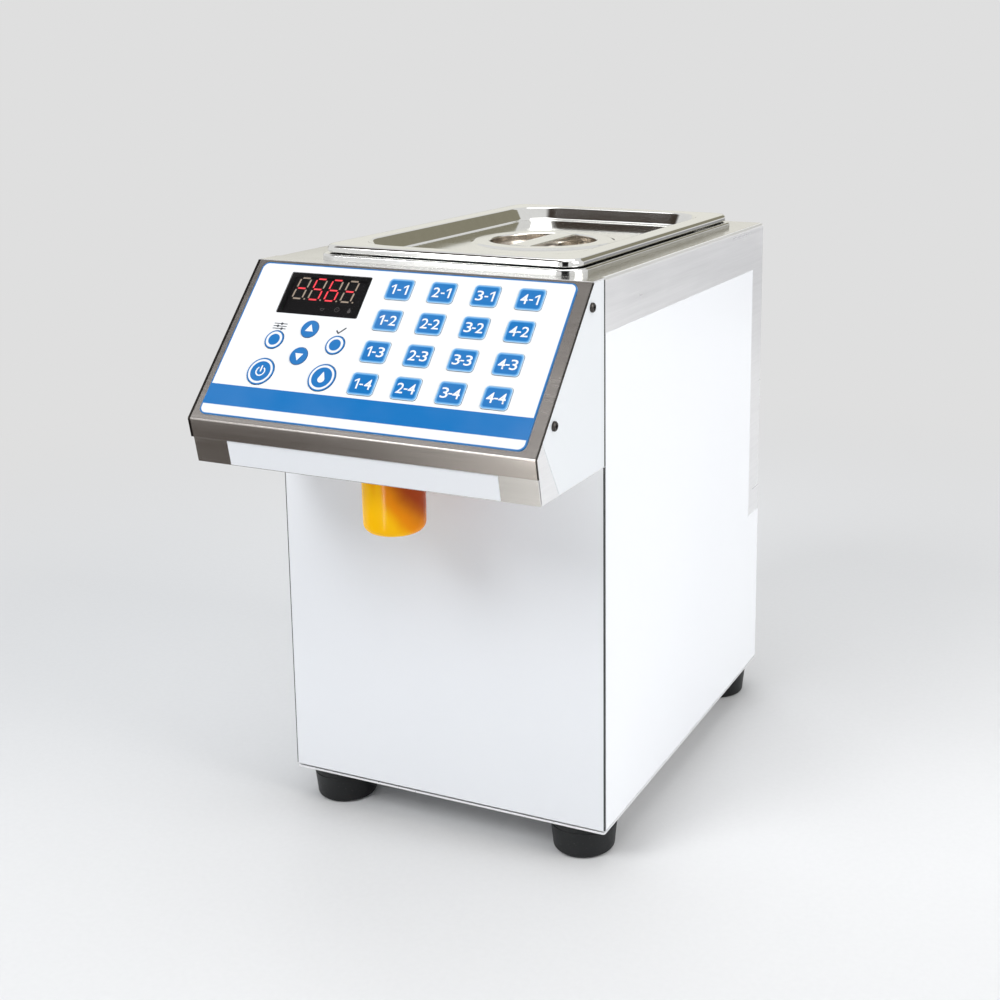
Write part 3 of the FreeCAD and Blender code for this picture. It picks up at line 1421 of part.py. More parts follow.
def power_supply():
    case = rounded("supply_case", ("supply_left", "supply_front", "supply_base"),
                   ("supply_width", "supply_length", "supply_height"), "supply_corner")
    terminals = block("supply_terminals",
                      ("supply_left + supply_corner", "supply_front - terminal_length", "supply_base"),
                      ("supply_width - 2 * supply_corner", "terminal_length", "terminal_height"))
    return group("power_supply_group", case, terminals)


def mains_inlet():
    """Socket and switch housing in one, with three blades in the socket."""
    body = block("inlet_body", ("inlet_offset - inlet_width / 2", "body_depth - inlet_depth",
                                "inlet_height - inlet_tall / 2"),
                 ("inlet_width", "inlet_depth + sheet_gauge", "inlet_tall"))
    flange = prism("inlet_flange", "XZ_Plane", rectangle(
        "inlet_offset - inlet_width / 2 - inlet_flange", "inlet_height - inlet_tall / 2 - inlet_flange",
        "inlet_width + 2 * inlet_flange", "inlet_tall + 2 * inlet_flange"), "inlet_flange_gauge", False)
    round_edges(flange, "inlet_corner", lambda edge: runs_along(edge, REARWARD))
    flange.setExpression("Placement.Base.y", words("inlet_face"))
    socket = block("socket", ("inlet_offset - socket_width / 2", "inlet_face - socket_depth",
                              "socket_middle - socket_height / 2"),
                   ("socket_width", "socket_depth + overrun", "socket_height"))
    well = block("rocker_well",
                 ("inlet_offset - rocker_width / 2 - rocker_side_gap", "rear_face - rocker_well",
                  "rocker_middle - rocker_length / 2 - rocker_end_gap"),
                 ("rocker_width + 2 * rocker_side_gap", "rocker_well + inlet_flange_gauge + overrun",
                  "rocker_length + 2 * rocker_end_gap"))
    pin_hole = rod("rocker_pin_hole", "rocker_pin_radius + shaft_clearance",
                   "rocker_width + 2 * rocker_side_gap + 2 * rocker_pin_length",
                   ("inlet_offset - rocker_width / 2 - rocker_side_gap - rocker_pin_length",
                    "rear_face", "rocker_middle"), ACROSS)
    housing = cut("inlet_housing", join("inlet_join", body, flange), socket, well, pin_hole)
    blades = [block(f"blade_{i}", (f"inlet_offset + {across} * blade_spread - blade_width / 2",
                                   "inlet_face - socket_depth",
                                   f"socket_middle + {up} * blade_offset - blade_height / 2"),
                    ("blade_width", "blade_length", "blade_height"))
              for i, (across, up) in enumerate(((-1, -1), (0, 1), (1, -1)))]
    return group("mains_inlet_group", housing, *blades)


def power_rocker():
    """A shallow V that rocks on two side pins; at rest its lower half stands out."""
    half = "rocker_length / 2"
    profile = [(f"-rocker_depth", f"-{half}"), ("rocker_rise", f"-{half}"), ("rocker_dip", "0"),
               ("rocker_rise", half), ("-rocker_depth", half)]
    wedge = prism("rocker_wedge", "YZ_Plane", profile, "rocker_width")
    pins = rod("rocker_pins", "rocker_pin_radius", "rocker_width + 2 * rocker_side_gap + rocker_pin_length",
               ("-rocker_width / 2 - rocker_side_gap - rocker_pin_length / 2", "0", "0"), ACROSS)
    rocker = join("rocker_join", wedge, pins)
    rocker.Placement = FreeCAD.Placement(FreeCAD.Vector(), FreeCAD.Rotation(ACROSS, 1))
    rocker.setExpression("Placement.Rotation.Angle", words("rocker_swing / 2"))
    put(rocker, "inlet_offset", "rear_face", "rocker_middle")
    return group("power_rocker_group", rocker)


# Case screws

def case_screw(name, place_text, along):
    """A domed cross-head screw, its head standing off the face at its place."""
    head = turned(name + "_head", [
        ("0", "-case_screw_length"), ("case_screw_radius", "-case_screw_length"), ("case_screw_radius", "0"),
        ("case_screw_head_radius", "0"), ("case_screw_head_radius", "case_screw_head - case_screw_dome"),
        ("case_screw_head_radius - case_screw_dome", "case_screw_head"), ("0", "case_screw_head")])
    slots = [block(f"{name}_slot_{i}", (f"-{long} / 2", f"-{wide} / 2", "case_screw_head / 2"),
                   (long, wide, "case_screw_head"))
             for i, (long, wide) in enumerate((("case_screw_head_radius", "case_screw_slot"),
                                               ("case_screw_slot", "case_screw_head_radius")))]
    screw = cut(name, head, *slots)
    screw.Placement = FreeCAD.Placement(FreeCAD.Vector(), FreeCAD.Rotation(UP, along))
    put(screw, *place_text)
    return screw


def case_screws():
    screws = [case_screw(f"rear_screw_{i}", (x, "rear_face", z), REARWARD)
              for i, (x, z) in enumerate(rear_screw_places())]
    for side, word in zip(LEFT_AND_RIGHT, ("left", "right")):
        screws += [case_screw(f"cheek_screw_{word}_{i}", (f"{side} * (half_width + film_gauge)", y, z),
                              ACROSS * side) for i, (y, z) in enumerate(cheek_screw_places())]
    return group("case_screws_group", *screws)


# Build, check and write

def build():
    fill_sheet()
    node("base_plate", base_plate())
    feet = list(enumerate(foot_places()))
    node("rubber_feet", group("feet_group", *[rubber_foot(i, x, y) for i, (x, y) in feet]))
    node("foot_screws", group("foot_screws_group", *[foot_screw(i, x, y) for i, (x, y) in feet]))
    node("body_wrap", body_wrap())
    node("front_panel", front_panel())
    node("console_tray", console_tray())
    node("console_cheeks", group("cheeks_group", *mirrored_pairs(console_cheek)))
    node("rear_panel", rear_panel())
    node("side_films", group("side_films_group", *mirrored_pairs(side_film)))
    node("front_films", group("front_films_group", front_film(), lip_film(), *mirrored_pairs(cheek_film)))
    node("panel_plate", panel_plate(), tilted=True)
    node("panel_overlay", panel_overlay(), tilted=True)
    node("display_window", group("lens_group", display_window()), tilted=True)
    node("display_module", group("module_group", display_module()), tilted=True)
    node("control_board", control_board(), tilted=True)
    node("board_posts", board_posts(), tilted=True)
    for name, radius, x, y in key_table():
        node(name, key(name + "_node", radius, x, y), tilted=True)
    node("syrup_pan", syrup_pan())
    node("pan_outlet", pan_outlet())
    node("lid", lid())
    node("lid_handle", lid_handle())
    node("suction_hose", suction_hose())
    node("delivery_hose", delivery_hose())
    node("hose_clips", hose_clips())
    node("pump_body", pump_body())
    node("pump_cover", pump_cover())
    node("drive_gear", drive_gear())
    node("driven_gear", driven_gear())
    node("pump_screws", group("pump_screws_group",
                              *[pump_screw(i, x, z) for i, (x, z) in enumerate(pump_screw_places())]))
    node("pump_motor", pump_motor())
    node("pump_bracket", pump_bracket())
    node("nozzle", nozzle())
    node("nozzle_nut", nozzle_nut())
    node("nozzle_cap", nozzle_cap())
    node("power_supply", power_supply())
    node("mains_inlet", mains_inlet())
    node("power_rocker", power_rocker())
    node("case_screws", case_screws())
    node("wiring", wiring())
    doc.recompute()


def check():
    """Stop if any object failed or any node is not a valid solid."""
    for item in doc.Objects:
        if "Invalid" in item.State or "Error" in item.State:
            raise RuntimeError(f"{item.Name} failed: {item.State}")
    for item in nodes:
        shape = item.Shape
        if shape.isNull() or not shape.isValid() or not shape.Solids:
            raise RuntimeError(f"{item.Label} has no valid solid")


def write():
    os.makedirs("parts", exist_ok=True)
    for item in nodes:
        item.Shape.exportStep(f"parts/{item.Label}.step")
        box = item.Shape.BoundBox
        print(f"{item.Label:16s} solids {len(item.Shape.Solids):3d} volume {item.Shape.Volume:10.1f} "
              f"x {box.XMin:7.1f} {box.XMax:7.1f} y {box.YMin:7.1f} {box.YMax:7.1f} "
              f"z {box.ZMin:7.1f} {box.ZMax:7.1f}")


build()
check()
write()
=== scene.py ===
# %% [markdown]
# # A countertop syrup dispenser
# This lesson dresses a finished engineering model. The engineering model says where every piece is and
# how it moves, so the first step loads it. Everything made later sits in the same metres and stays
# inside the model's box.

# %% Load the fixed frame
import json
from math import atan2, cos, degrees, pi, radians, sin

import bmesh
import bpy
from mathutils import Matrix, Vector

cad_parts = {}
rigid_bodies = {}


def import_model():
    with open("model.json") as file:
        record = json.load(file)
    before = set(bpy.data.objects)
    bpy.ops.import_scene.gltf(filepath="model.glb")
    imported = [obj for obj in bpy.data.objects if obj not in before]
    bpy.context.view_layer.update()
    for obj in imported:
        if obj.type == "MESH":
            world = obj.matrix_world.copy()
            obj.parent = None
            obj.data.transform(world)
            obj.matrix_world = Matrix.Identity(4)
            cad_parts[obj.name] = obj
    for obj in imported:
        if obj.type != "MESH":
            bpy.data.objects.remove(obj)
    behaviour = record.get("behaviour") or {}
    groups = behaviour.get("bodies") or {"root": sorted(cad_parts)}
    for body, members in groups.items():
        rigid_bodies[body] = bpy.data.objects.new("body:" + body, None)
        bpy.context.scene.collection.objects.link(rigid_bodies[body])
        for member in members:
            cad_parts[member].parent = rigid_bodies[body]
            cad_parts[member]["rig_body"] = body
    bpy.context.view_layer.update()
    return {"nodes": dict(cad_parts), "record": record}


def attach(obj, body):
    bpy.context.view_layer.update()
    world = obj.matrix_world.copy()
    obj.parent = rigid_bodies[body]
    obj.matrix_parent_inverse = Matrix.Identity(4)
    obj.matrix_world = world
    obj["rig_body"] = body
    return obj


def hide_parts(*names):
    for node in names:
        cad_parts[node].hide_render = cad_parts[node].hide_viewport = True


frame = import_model()
scene = bpy.context.scene
nodes = frame["nodes"]
body_of_node = {name: node["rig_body"] for name, node in nodes.items()}
slot_of_node = {part["node"]: part["material_slot"] for part in frame["record"]["subparts"]}
MM = 0.001


def put_in_scene(name, data):
    item = bpy.data.objects.new(name, data)
    scene.collection.objects.link(item)
    return item


# %% [markdown]
# ## The camera
# The photograph looks down at the machine from the front and the right. A long lens keeps the upright
# edges nearly parallel. The picture was cropped off centre, and a small lens shift does the same here
# without turning the camera. The plain Standard view keeps whites white, as the photograph does.

# %% Camera
CAMERA_PLACE = Vector((0.50515, -0.97207, 0.55955))
CAMERA_AHEAD = Vector((-0.385536, 0.901976, -0.194423)).normalized()
CAMERA_RIGHT = Vector((0.919397, 0.393328, 0.001699)).normalized()
camera_up = CAMERA_RIGHT.cross(CAMERA_AHEAD)
lens = bpy.data.cameras.new("photo_lens")
lens.lens = 52.969
lens.sensor_width = 36
lens.shift_x = -0.124
lens.shift_y = -0.1605
lens.clip_end = 50
camera = put_in_scene("photo_camera", lens)
turn = Matrix((CAMERA_RIGHT, camera_up, -CAMERA_AHEAD)).transposed()
camera.matrix_world = Matrix.Translation(CAMERA_PLACE) @ turn.to_4x4()
scene.camera = camera
scene.view_settings.view_transform = "Standard"
print("lens", lens.lens, "mm")

# %% [markdown]
# ## Finishing a mesh into a piece
# Each piece needs the same last steps: a mesh, an object at the origin, a material and a body to ride on,
# and the engineering part it stands for is hidden. One small helper does them all, so that no step is
# forgotten.

# %% A helper that finishes a piece
made = []


def finish_piece(name, mesh, body, material, stands_for=()):
    """Put a mesh in the scene as a named piece that rides on a body."""
    piece = put_in_scene(name, mesh)
    mesh.materials.clear()
    mesh.materials.append(material)
    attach(piece, body)
    if stands_for:
        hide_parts(*stands_for)
    made.append(piece)
    return piece


def mesh_from(bm, name, smooth=True):
    """Turn a bmesh into a mesh with its faces pointing outwards."""
    bmesh.ops.recalc_face_normals(bm, faces=bm.faces)
    for face in bm.faces:
        face.smooth = smooth
    mesh = bpy.data.meshes.new(name)
    bm.to_mesh(mesh)
    bm.free()
    return mesh


def round_off(bm, sides, offset, segments):
    """Bevel chosen edges round, by an offset in millimetres."""
    bmesh.ops.bevel(bm, geom=sides, offset=offset * MM, segments=segments, profile=0.5, affect="EDGES",
                    material=-1)


# %% [markdown]
# ## Small helpers for shader nodes
# Node trees written in code grow long. This helper adds one node, sets its options, and either links or
# sets each input, so that a material reads as a short list of steps.

# %% Shader node helpers
def add(tree, kind, inputs=None, **options):
    """Add one node. An input takes a value, or the output socket of another node."""
    item = tree.nodes.new(kind)
    for key, value in options.items():
        setattr(item, key, value)
    for key, value in (inputs or {}).items():
        if isinstance(value, bpy.types.NodeSocket):
            tree.links.new(value, item.inputs[key])
        else:
            item.inputs[key].default_value = value
    return item


def empty_tree(owner):
    """Turn nodes on for a material or the world and clear its tree."""
    owner.use_nodes = True
    owner.node_tree.nodes.clear()
    return owner.node_tree


def calc(tree, operation, first, second=0.0):
    return add(tree, "ShaderNodeMath", {0: first, 1: second}, operation=operation).outputs[0]


def times(tree, first, second):
    return calc(tree, "MULTIPLY", first, second)


def plus(tree, first, second):
    return calc(tree, "ADD", first, second)


def vector_math(tree, operation, first, second=(0, 0, 0)):
    return add(tree, "ShaderNodeVectorMath", {0: first, 1: second}, operation=operation).outputs[0]


def spread(tree, value, low, high, low_out, high_out, smooth=False):
    """Bring a value from one range into another."""
    item = add(tree, "ShaderNodeMapRange", {"Value": value, "From Min": low, "From Max": high,
                                            "To Min": low_out, "To Max": high_out})
    if smooth:
        item.interpolation_type = "SMOOTHSTEP"
    return item.outputs["Result"]


def blend(tree, mask, first, second):
    """Mix two colours by a mask."""
    item = add(tree, "ShaderNodeMix", data_type="RGBA")
    for socket, value in ((item.inputs[0], mask), (item.inputs[6], first), (item.inputs[7], second)):
        if isinstance(value, bpy.types.NodeSocket):
            tree.links.new(value, socket)
        else:
            socket.default_value = value if isinstance(value, float) else tuple(value) + (1.0,)
    return item.outputs[2]


def noise(tree, vector, scale, detail=2.0, rough=0.5):
    item = add(tree, "ShaderNodeTexNoise", {"Vector": vector, "Scale": scale, "Detail": detail,
                                            "Roughness": rough})
    return item.outputs["Fac"]


def new_group(name, inputs, outputs):
    """An empty node group with named sockets. Each input has its first value: a number or a vector."""
    group = bpy.data.node_groups.new(name, "ShaderNodeTree")
    for label, value in inputs.items():
        kind = "NodeSocketVector" if isinstance(value, tuple) else "NodeSocketFloat"
        socket = group.interface.new_socket(label, in_out="INPUT", socket_type=kind)
        socket.default_value = value
    for label in outputs:
        group.interface.new_socket(label, in_out="OUTPUT", socket_type="NodeSocketFloat")
    return group, group.nodes.new("NodeGroupInput").outputs, group.nodes.new("NodeGroupOutput").inputs


def place_group(tree, group, inputs):
    """Place a group in a tree and give it its own values."""
    return add(tree, "ShaderNodeGroup", inputs, node_tree=group).outputs


def link(tree, value, socket):
    tree.links.new(value, socket)


print("helpers ready")

# %% [markdown]
# ## Shared surface effects
# Brushed steel, handling marks and fine grain show up on many finishes. Each is one node group with
# named inputs, so a finish only gives its own sizes. The groups put out plain masks between 0 and 1,
# and every material turns those into colour, roughness and bump itself.

# %% Brushed lines, handling marks and grain as node groups
def brushed_group():
    """Long thin lines on stretched coordinates, with broad cloudy patches under them."""
    group, start, end = new_group(
        "brushed_lines", {"Vector": (0, 0, 0), "Lines per Metre": 900, "Patches per Metre": 9},
        ["Lines", "Coarse Lines", "Patches"])
    fine = noise(group, start["Vector"], start["Lines per Metre"], 3, 0.6)
    wide = noise(group, start["Vector"], times(group, start["Lines per Metre"], 0.22), 2, 0.5)
    cloud = noise(group, start["Vector"], start["Patches per Metre"], 3, 0.55)
    for label, value in (("Lines", fine), ("Coarse Lines", wide), ("Patches", cloud)):
        link(group, value, end[label])
    return group


def handling_group():
    """Soft smudges left by hands, and a sparse speckle of dust."""
    group, start, end = new_group(
        "handling_marks", {"Vector": (0, 0, 0), "Smudge Size": 14, "Dust Size": 700}, ["Smudges", "Dust"])
    cloud = noise(group, start["Vector"], start["Smudge Size"], 4, 0.6)
    speck = noise(group, start["Vector"], start["Dust Size"], 1, 0.5)
    link(group, spread(group, cloud, 0.42, 0.72, 0, 1, True), end["Smudges"])
    link(group, spread(group, speck, 0.68, 0.78, 0, 1), end["Dust"])
    return group


def grain_group():
    """The fine uneven skin of a moulding, with slow changes of tone."""
    group, start, end = new_group(
        "moulded_grain", {"Vector": (0, 0, 0), "Grain Size": 1500}, ["Grain", "Tone"])
    link(group, noise(group, start["Vector"], start["Grain Size"], 2, 0.6), end["Grain"])
    link(group, noise(group, start["Vector"], 22, 2, 0.5), end["Tone"])
    return group


brushed = brushed_group()
handling = handling_group()
grain = grain_group()
print("effect groups", brushed.name, handling.name, grain.name)

# %% [markdown]
# ## Starting a material
# Every finish starts the same way: a Principled shader, the object's own coordinates, and constant
# numbers set straight on the shader. The pattern reads object coordinates, so it is stuck to the piece
# and moves with it.

# %% A helper that starts a material
SHADER_SOCKETS = {"metallic": "Metallic", "ior": "IOR", "coat": "Coat Weight", "coat_rough": "Coat Roughness",
                  "specular": "Specular IOR Level", "subsurface": "Subsurface Weight",
                  "scale": "Subsurface Scale"}


def start_material(name, stretch=(1, 1, 1), **numbers):
    """A new material: its tree, its shader's inputs and its stretched object coordinates."""
    material = bpy.data.materials.new(name)
    tree = empty_tree(material)
    shader = add(tree, "ShaderNodeBsdfPrincipled")
    add(tree, "ShaderNodeOutputMaterial", {"Surface": shader.outputs[0]})
    for key, value in numbers.items():
        shader.inputs[SHADER_SOCKETS[key]].default_value = value
    place = add(tree, "ShaderNodeTexCoord").outputs["Object"]
    stretched = add(tree, "ShaderNodeMapping", {"Vector": place, "Scale": stretch}).outputs[0]
    return material, tree, shader.inputs, place, stretched


def bump(tree, inputs, height, distance):
    item = add(tree, "ShaderNodeBump", {"Height": height, "Distance": distance, "Strength": 1.0})
    link(tree, item.outputs[0], inputs["Normal"])


def even(tree, value, low, high, smooth=False):
    """Stretch the busy middle of a noise over a new range."""
    return spread(tree, value, 0.3, 0.7, low, high, smooth)


# %% [markdown]
# ## Brushed and polished steel
# Stainless sheet is brushed along one direction at the mill. The lines are drawn by a noise that is
# stretched along the brushing, they shade the colour a little, and they roughen the reflection
# unevenly. Hands leave smudges that dull it in soft patches.

# %% Steel finishes
BRUSH_STRETCH = 0.015
# The width and colour of the painted shade along a sheet's outer edges.
RIM_WIDTH, RIM_PAINTED_SHADE = 0.3, (0.02, 0.016, 0.013)
LINE_SHARE, COARSE_SHARE, PATCH_SHARE = 0.45, 0.35, 0.2


def steel(name, dark, light, rough, spread_rough, along, lines=900, depth=0.000012, smudge=0.10, shaded_rims=(),
          metallic=1.0):
    """Steel brushed along an axis: 0 is across, 1 is to the rear and 2 is up. Painted shade darkens its outer
    edges at the rims given.
    """
    stretch = [1.0, 1.0, 1.0]
    stretch[along] = BRUSH_STRETCH
    material, tree, inputs, place, stretched = start_material(name, stretch, metallic=metallic)
    marks = place_group(tree, brushed, {"Vector": stretched, "Lines per Metre": lines})
    touch = place_group(tree, handling, {"Vector": place})
    shade = plus(tree, times(tree, marks["Lines"], LINE_SHARE),
                 plus(tree, times(tree, marks["Coarse Lines"], COARSE_SHARE),
                      times(tree, marks["Patches"], PATCH_SHARE)))
    colour = blend(tree, spread(tree, shade, 0.34, 0.66, 0, 1), dark, light)
    # Painted shade: a dark line along each given outer edge, for the shade at the sheet's edge.
    for rim in shaded_rims:
        across = add(tree, "ShaderNodeSeparateXYZ", {"Vector": place}).outputs[0]
        outer = rim + (RIM_WIDTH if rim > 0 else -RIM_WIDTH)
        colour = blend(tree, spread(tree, across, rim * MM, outer * MM, 0, 0.93), colour, RIM_PAINTED_SHADE)
    link(tree, colour, inputs["Base Color"])
    base = even(tree, marks["Coarse Lines"], rough - spread_rough, rough + spread_rough)
    link(tree, plus(tree, base, times(tree, touch["Smudges"], smudge)), inputs["Roughness"])
    bump(tree, inputs, marks["Lines"], depth)
    return material


STEELS = {
    "case_steel": ((0.85, 0.85, 0.86), (0.93, 0.93, 0.94), 0.30, 0.03, 1, 1600, 0.000002, 0.05, (), 0.6),
    # The roof is the top of the same folded sheet; its darker beige paints the reflection it shows.
    "roof_steel": ((0.78, 0.775, 0.75), (0.84, 0.835, 0.81), 0.20, 0.015, 1, 1600, 0.0000006, 0.04),
    "tray_steel": ((0.80, 0.79, 0.77), (0.87, 0.86, 0.85), 0.20, 0.015, 0, 1600, 0.0000006, 0.04),
    # The finger bowl is part of the same polished lid; its dark brown paints the reflections in it.
    "bowl_steel": ((0.46, 0.41, 0.35), (0.56, 0.51, 0.45), 0.21, 0.02, 0, 500, 0.000001, 0.04),
    # The panel's steel is a darker brown, which paints the dark reflections it shows, and its two outer edges
    # carry painted shade.
    "panel_steel": ((0.50, 0.465, 0.44), (0.59, 0.555, 0.525), 0.25, 0.008, 0, 3200, 0.0000008, 0.02,
                    (-125.8, 127.1)),
    "lid_steel": ((0.86, 0.86, 0.835), (0.92, 0.92, 0.90), 0.07, 0.015, 0, 500, 0.000001, 0.04),
    "pan_steel": ((0.80, 0.80, 0.785), (0.89, 0.89, 0.88), 0.13, 0.03, 0, 600, 0.000002, 0.05),
    "bracket_steel": ((0.48, 0.48, 0.47), (0.66, 0.66, 0.65), 0.36, 0.06, 2),
    "gear_steel": ((0.42, 0.42, 0.42), (0.62, 0.62, 0.61), 0.28, 0.06, 1, 1500),
    "spring_clips": ((0.5, 0.5, 0.48), (0.66, 0.66, 0.64), 0.25, 0.05, 0, 1500),
    "zinc_screws": ((0.56, 0.57, 0.6), (0.74, 0.75, 0.77), 0.24, 0.06, 2, 1500),
    "pump_metal": ((0.56, 0.57, 0.58), (0.72, 0.73, 0.74), 0.38, 0.05, 0, 1200),
    "supply_metal": ((0.60, 0.61, 0.62), (0.72, 0.73, 0.74), 0.42, 0.05, 1),
    "brass_posts": ((0.62, 0.42, 0.13), (0.80, 0.60, 0.24), 0.24, 0.05, 2, 1500)}
finish = {name: steel(name, *values) for name, values in STEELS.items()}
print("steel finishes", len(finish))

# %% [markdown]
# ## Mouldings, rubber and paint
# Moulded plastic, rubber and paint have no brushing. Their skin has a fine grain, their tone drifts
# slowly over the piece, and dust sits on the dark ones. One helper gives each its own colours and
# gloss.

# %% Moulded and painted finishes
DUST_COLOUR = (0.45, 0.44, 0.42)


def moulded(name, dark, light, rough, depth=0.00001, size=1500, dust=0.0, **numbers):
    material, tree, inputs, place, _ = start_material(name, **numbers)
    skin = place_group(tree, grain, {"Vector": place, "Grain Size": size})
    touch = place_group(tree, handling, {"Vector": place})
    colour = blend(tree, even(tree, skin["Tone"], 0, 1), dark, light)
    speck = times(tree, touch["Dust"], dust)
    link(tree, blend(tree, speck, colour, DUST_COLOUR), inputs["Base Color"])
    worn = times(tree, touch["Smudges"], 0.08)
    link(tree, plus(tree, even(tree, skin["Grain"], rough - 0.04, rough + 0.04), worn), inputs["Roughness"])
    bump(tree, inputs, skin["Grain"], depth)
    return material


MOULDINGS = {
    "nozzle_white": ((0.78, 0.78, 0.75), (0.86, 0.86, 0.83), 0.30),
    "inlet_black": ((0.012, 0.012, 0.013), (0.022, 0.022, 0.024), 0.46, 0.00003, 1400, 0.06),
    "rocker_black": ((0.014, 0.014, 0.015), (0.024, 0.024, 0.026), 0.26, 0.000006),
    "motor_paint": ((0.018, 0.018, 0.02), (0.035, 0.035, 0.038), 0.35, 0.00004, 500, 0.08),
    "display_black": ((0.006, 0.006, 0.007), (0.012, 0.012, 0.013), 0.5),
    "lead_jacket": ((0.05, 0.05, 0.055), (0.09, 0.09, 0.095), 0.5)}
for name, values in MOULDINGS.items():
    finish[name] = moulded(name, *values)
finish["foot_rubber"] = moulded("foot_rubber", (0.006, 0.0065, 0.007), (0.012, 0.013, 0.014), 0.48, 0.00003,
                                900, 0.05, specular=0.3)
finish["dark_screws"] = moulded("dark_screws", (0.03, 0.027, 0.025), (0.075, 0.068, 0.062), 0.30, 0.00001,
                                2500, metallic=0.8)
finish["clear_hose"] = moulded("clear_hose", (0.68, 0.70, 0.69), (0.78, 0.80, 0.79), 0.28, 0.000006, 800,
                               subsurface=0.2, scale=0.003)
print("finishes so far", len(finish))

# %% [markdown]
# ## White film
# The steel is sold with a smooth white film on its sides and front. It is glossy and nearly flat, with
# a very slow waviness where it lies over the sheet, and a cool tone.

# %% White film
def white_film(name, dark, light):
    material, tree, inputs, place, _ = start_material(name, coat=0.2, coat_rough=0.12)
    touch = place_group(tree, handling, {"Vector": place, "Smudge Size": 9})
    tone = noise(tree, place, 5, 0, 0.5)
    link(tree, blend(tree, even(tree, tone, 0, 1), dark, light), inputs["Base Color"])
    link(tree, plus(tree, 0.28, times(tree, touch["Smudges"], 0.02)), inputs["Roughness"])
    bump(tree, inputs, noise(tree, place, 7, 0, 0.5), 0.00006)
    return material


finish["white_film"] = white_film("white_film", (0.885, 0.90, 0.93), (0.905, 0.92, 0.945))
print("film", finish["white_film"].name)

# %% [markdown]
# ## Measuring on the sloped panel
# The key panel leans back. Its print is laid out in its own plane: across, up the slope and out of the
# panel. A Mapping node set to Texture undoes the panel's turn and place, so that a pattern can be given
# in millimetres of the panel, and a matrix puts new pieces there in the same way.

# %% The panel's plane
PANEL_ORIGIN = Vector((0, -0.137184, 0.414))
PANEL_TILT = atan2(0.7511409, 0.6601419)
PANEL = Matrix.Translation(PANEL_ORIGIN) @ Matrix.Rotation(PANEL_TILT, 4, "X")


def on_panel(tree, place):
    """Object coordinates turned into metres across and up the panel."""
    return add(tree, "ShaderNodeMapping", {"Vector": place, "Location": PANEL_ORIGIN,
                                           "Rotation": (PANEL_TILT, 0, 0)}, vector_type="TEXTURE").outputs[0]


print("panel tilt", round(degrees(PANEL_TILT), 2), "degrees")

# %% [markdown]
# ## Printed shapes as masks
# The print is made of rounded boxes, rings and discs with crisp or soft edges. A distance to the
# shape's edge gives all of them: the mask is 1 inside, 0 outside, and fades over the width of the edge.
# Two small groups hold that sum, and each printed shape is one of them with its own centre and size.

# %% Print masks as node groups
def box_group():
    """1 inside a box with round corners, from its centre, half size, corner and edge width."""
    group, start, end = new_group(
        "printed_box", {"Vector": (0, 0, 0), "Centre": (0, 0, 0), "Half Size": (0.01, 0.01, 1),
                        "Corner": 0.001, "Edge": 0.0002}, ["Mask"])
    away = vector_math(group, "SUBTRACT", start["Vector"], start["Centre"])
    past = vector_math(group, "SUBTRACT", vector_math(group, "ABSOLUTE", away), start["Half Size"])
    parts = add(group, "ShaderNodeSeparateXYZ", {"Vector": past}).outputs
    across, up = (plus(group, parts[axis], start["Corner"]) for axis in (0, 1))
    squares = [calc(group, "POWER", calc(group, "MAXIMUM", side, 0.0), 2.0) for side in (across, up)]
    round_part = calc(group, "SQRT", plus(group, *squares))
    flat_part = calc(group, "MINIMUM", calc(group, "MAXIMUM", across, up), 0.0)
    distance = calc(group, "SUBTRACT", plus(group, round_part, flat_part), start["Corner"])
    item = add(group, "ShaderNodeMapRange", {"Value": distance, "From Min": start["Edge"],
                                             "To Min": 0.0, "To Max": 1.0}, interpolation_type="SMOOTHSTEP")
    link(group, times(group, start["Edge"], -1.0), item.inputs["From Max"])
    link(group, item.outputs["Result"], end["Mask"])
    return group


def ring_group():
    """1 between two radii round a centre."""
    group, start, end = new_group(
        "printed_ring", {"Vector": (0, 0, 0), "Centre": (0, 0, 0), "Inner": 0.0, "Outer": 0.005,
                         "Edge": 0.00015}, ["Mask"])
    away = vector_math(group, "MULTIPLY", vector_math(group, "SUBTRACT", start["Vector"], start["Centre"]),
                       (1, 1, 0))
    radius = add(group, "ShaderNodeVectorMath", {0: away}, operation="LENGTH").outputs["Value"]
    outside = calc(group, "DIVIDE", calc(group, "SUBTRACT", radius, start["Outer"]), start["Edge"])
    inside = calc(group, "DIVIDE", calc(group, "SUBTRACT", start["Inner"], radius), start["Edge"])
    worst = calc(group, "MAXIMUM", outside, inside)
    link(group, spread(group, worst, 1, -1, 0, 1), end["Mask"])
    return group


printed_box = box_group()
printed_ring = ring_group()
print("print groups", printed_box.name, printed_ring.name)

# %% [markdown]
# ## The printed overlay
# The overlay is a white polyester sheet with a thin blue line round its edge and a plain blue band low
# down. The print is flat, so only the sheet's own fine texture makes relief. The lettering of the real
# band is left off, and the band stays bare.

# %% Overlay print
PRINT_BLUE = (0.002, 0.158, 0.462)
PRINT_BLUE_PALE = (0.12, 0.37, 0.69)
PRINT_WHITE = (0.85, 0.85, 0.855)


def sheet_finish(tree, inputs, place, colour):
    """The satin skin of a printed sheet: faint grain, faint smudges."""
    skin = place_group(tree, grain, {"Vector": place, "Grain Size": 2600})
    touch = place_group(tree, handling, {"Vector": place, "Smudge Size": 30})
    tone = even(tree, skin["Tone"], 0.0, 0.045)
    link(tree, blend(tree, tone, colour, (0.72, 0.75, 0.78)), inputs["Base Color"])
    link(tree, plus(tree, 0.33, times(tree, touch["Smudges"], 0.09)), inputs["Roughness"])
    bump(tree, inputs, skin["Grain"], 0.000004)


def box_mask(tree, flat, centre, half, corner, edge):
    """The mask of one printed box, in millimetres of the panel."""
    return place_group(tree, printed_box, {
        "Vector": flat, "Centre": (centre[0] * MM, centre[1] * MM, 0),
        "Half Size": (half[0] * MM, half[1] * MM, 1), "Corner": corner * MM, "Edge": edge * MM})["Mask"]


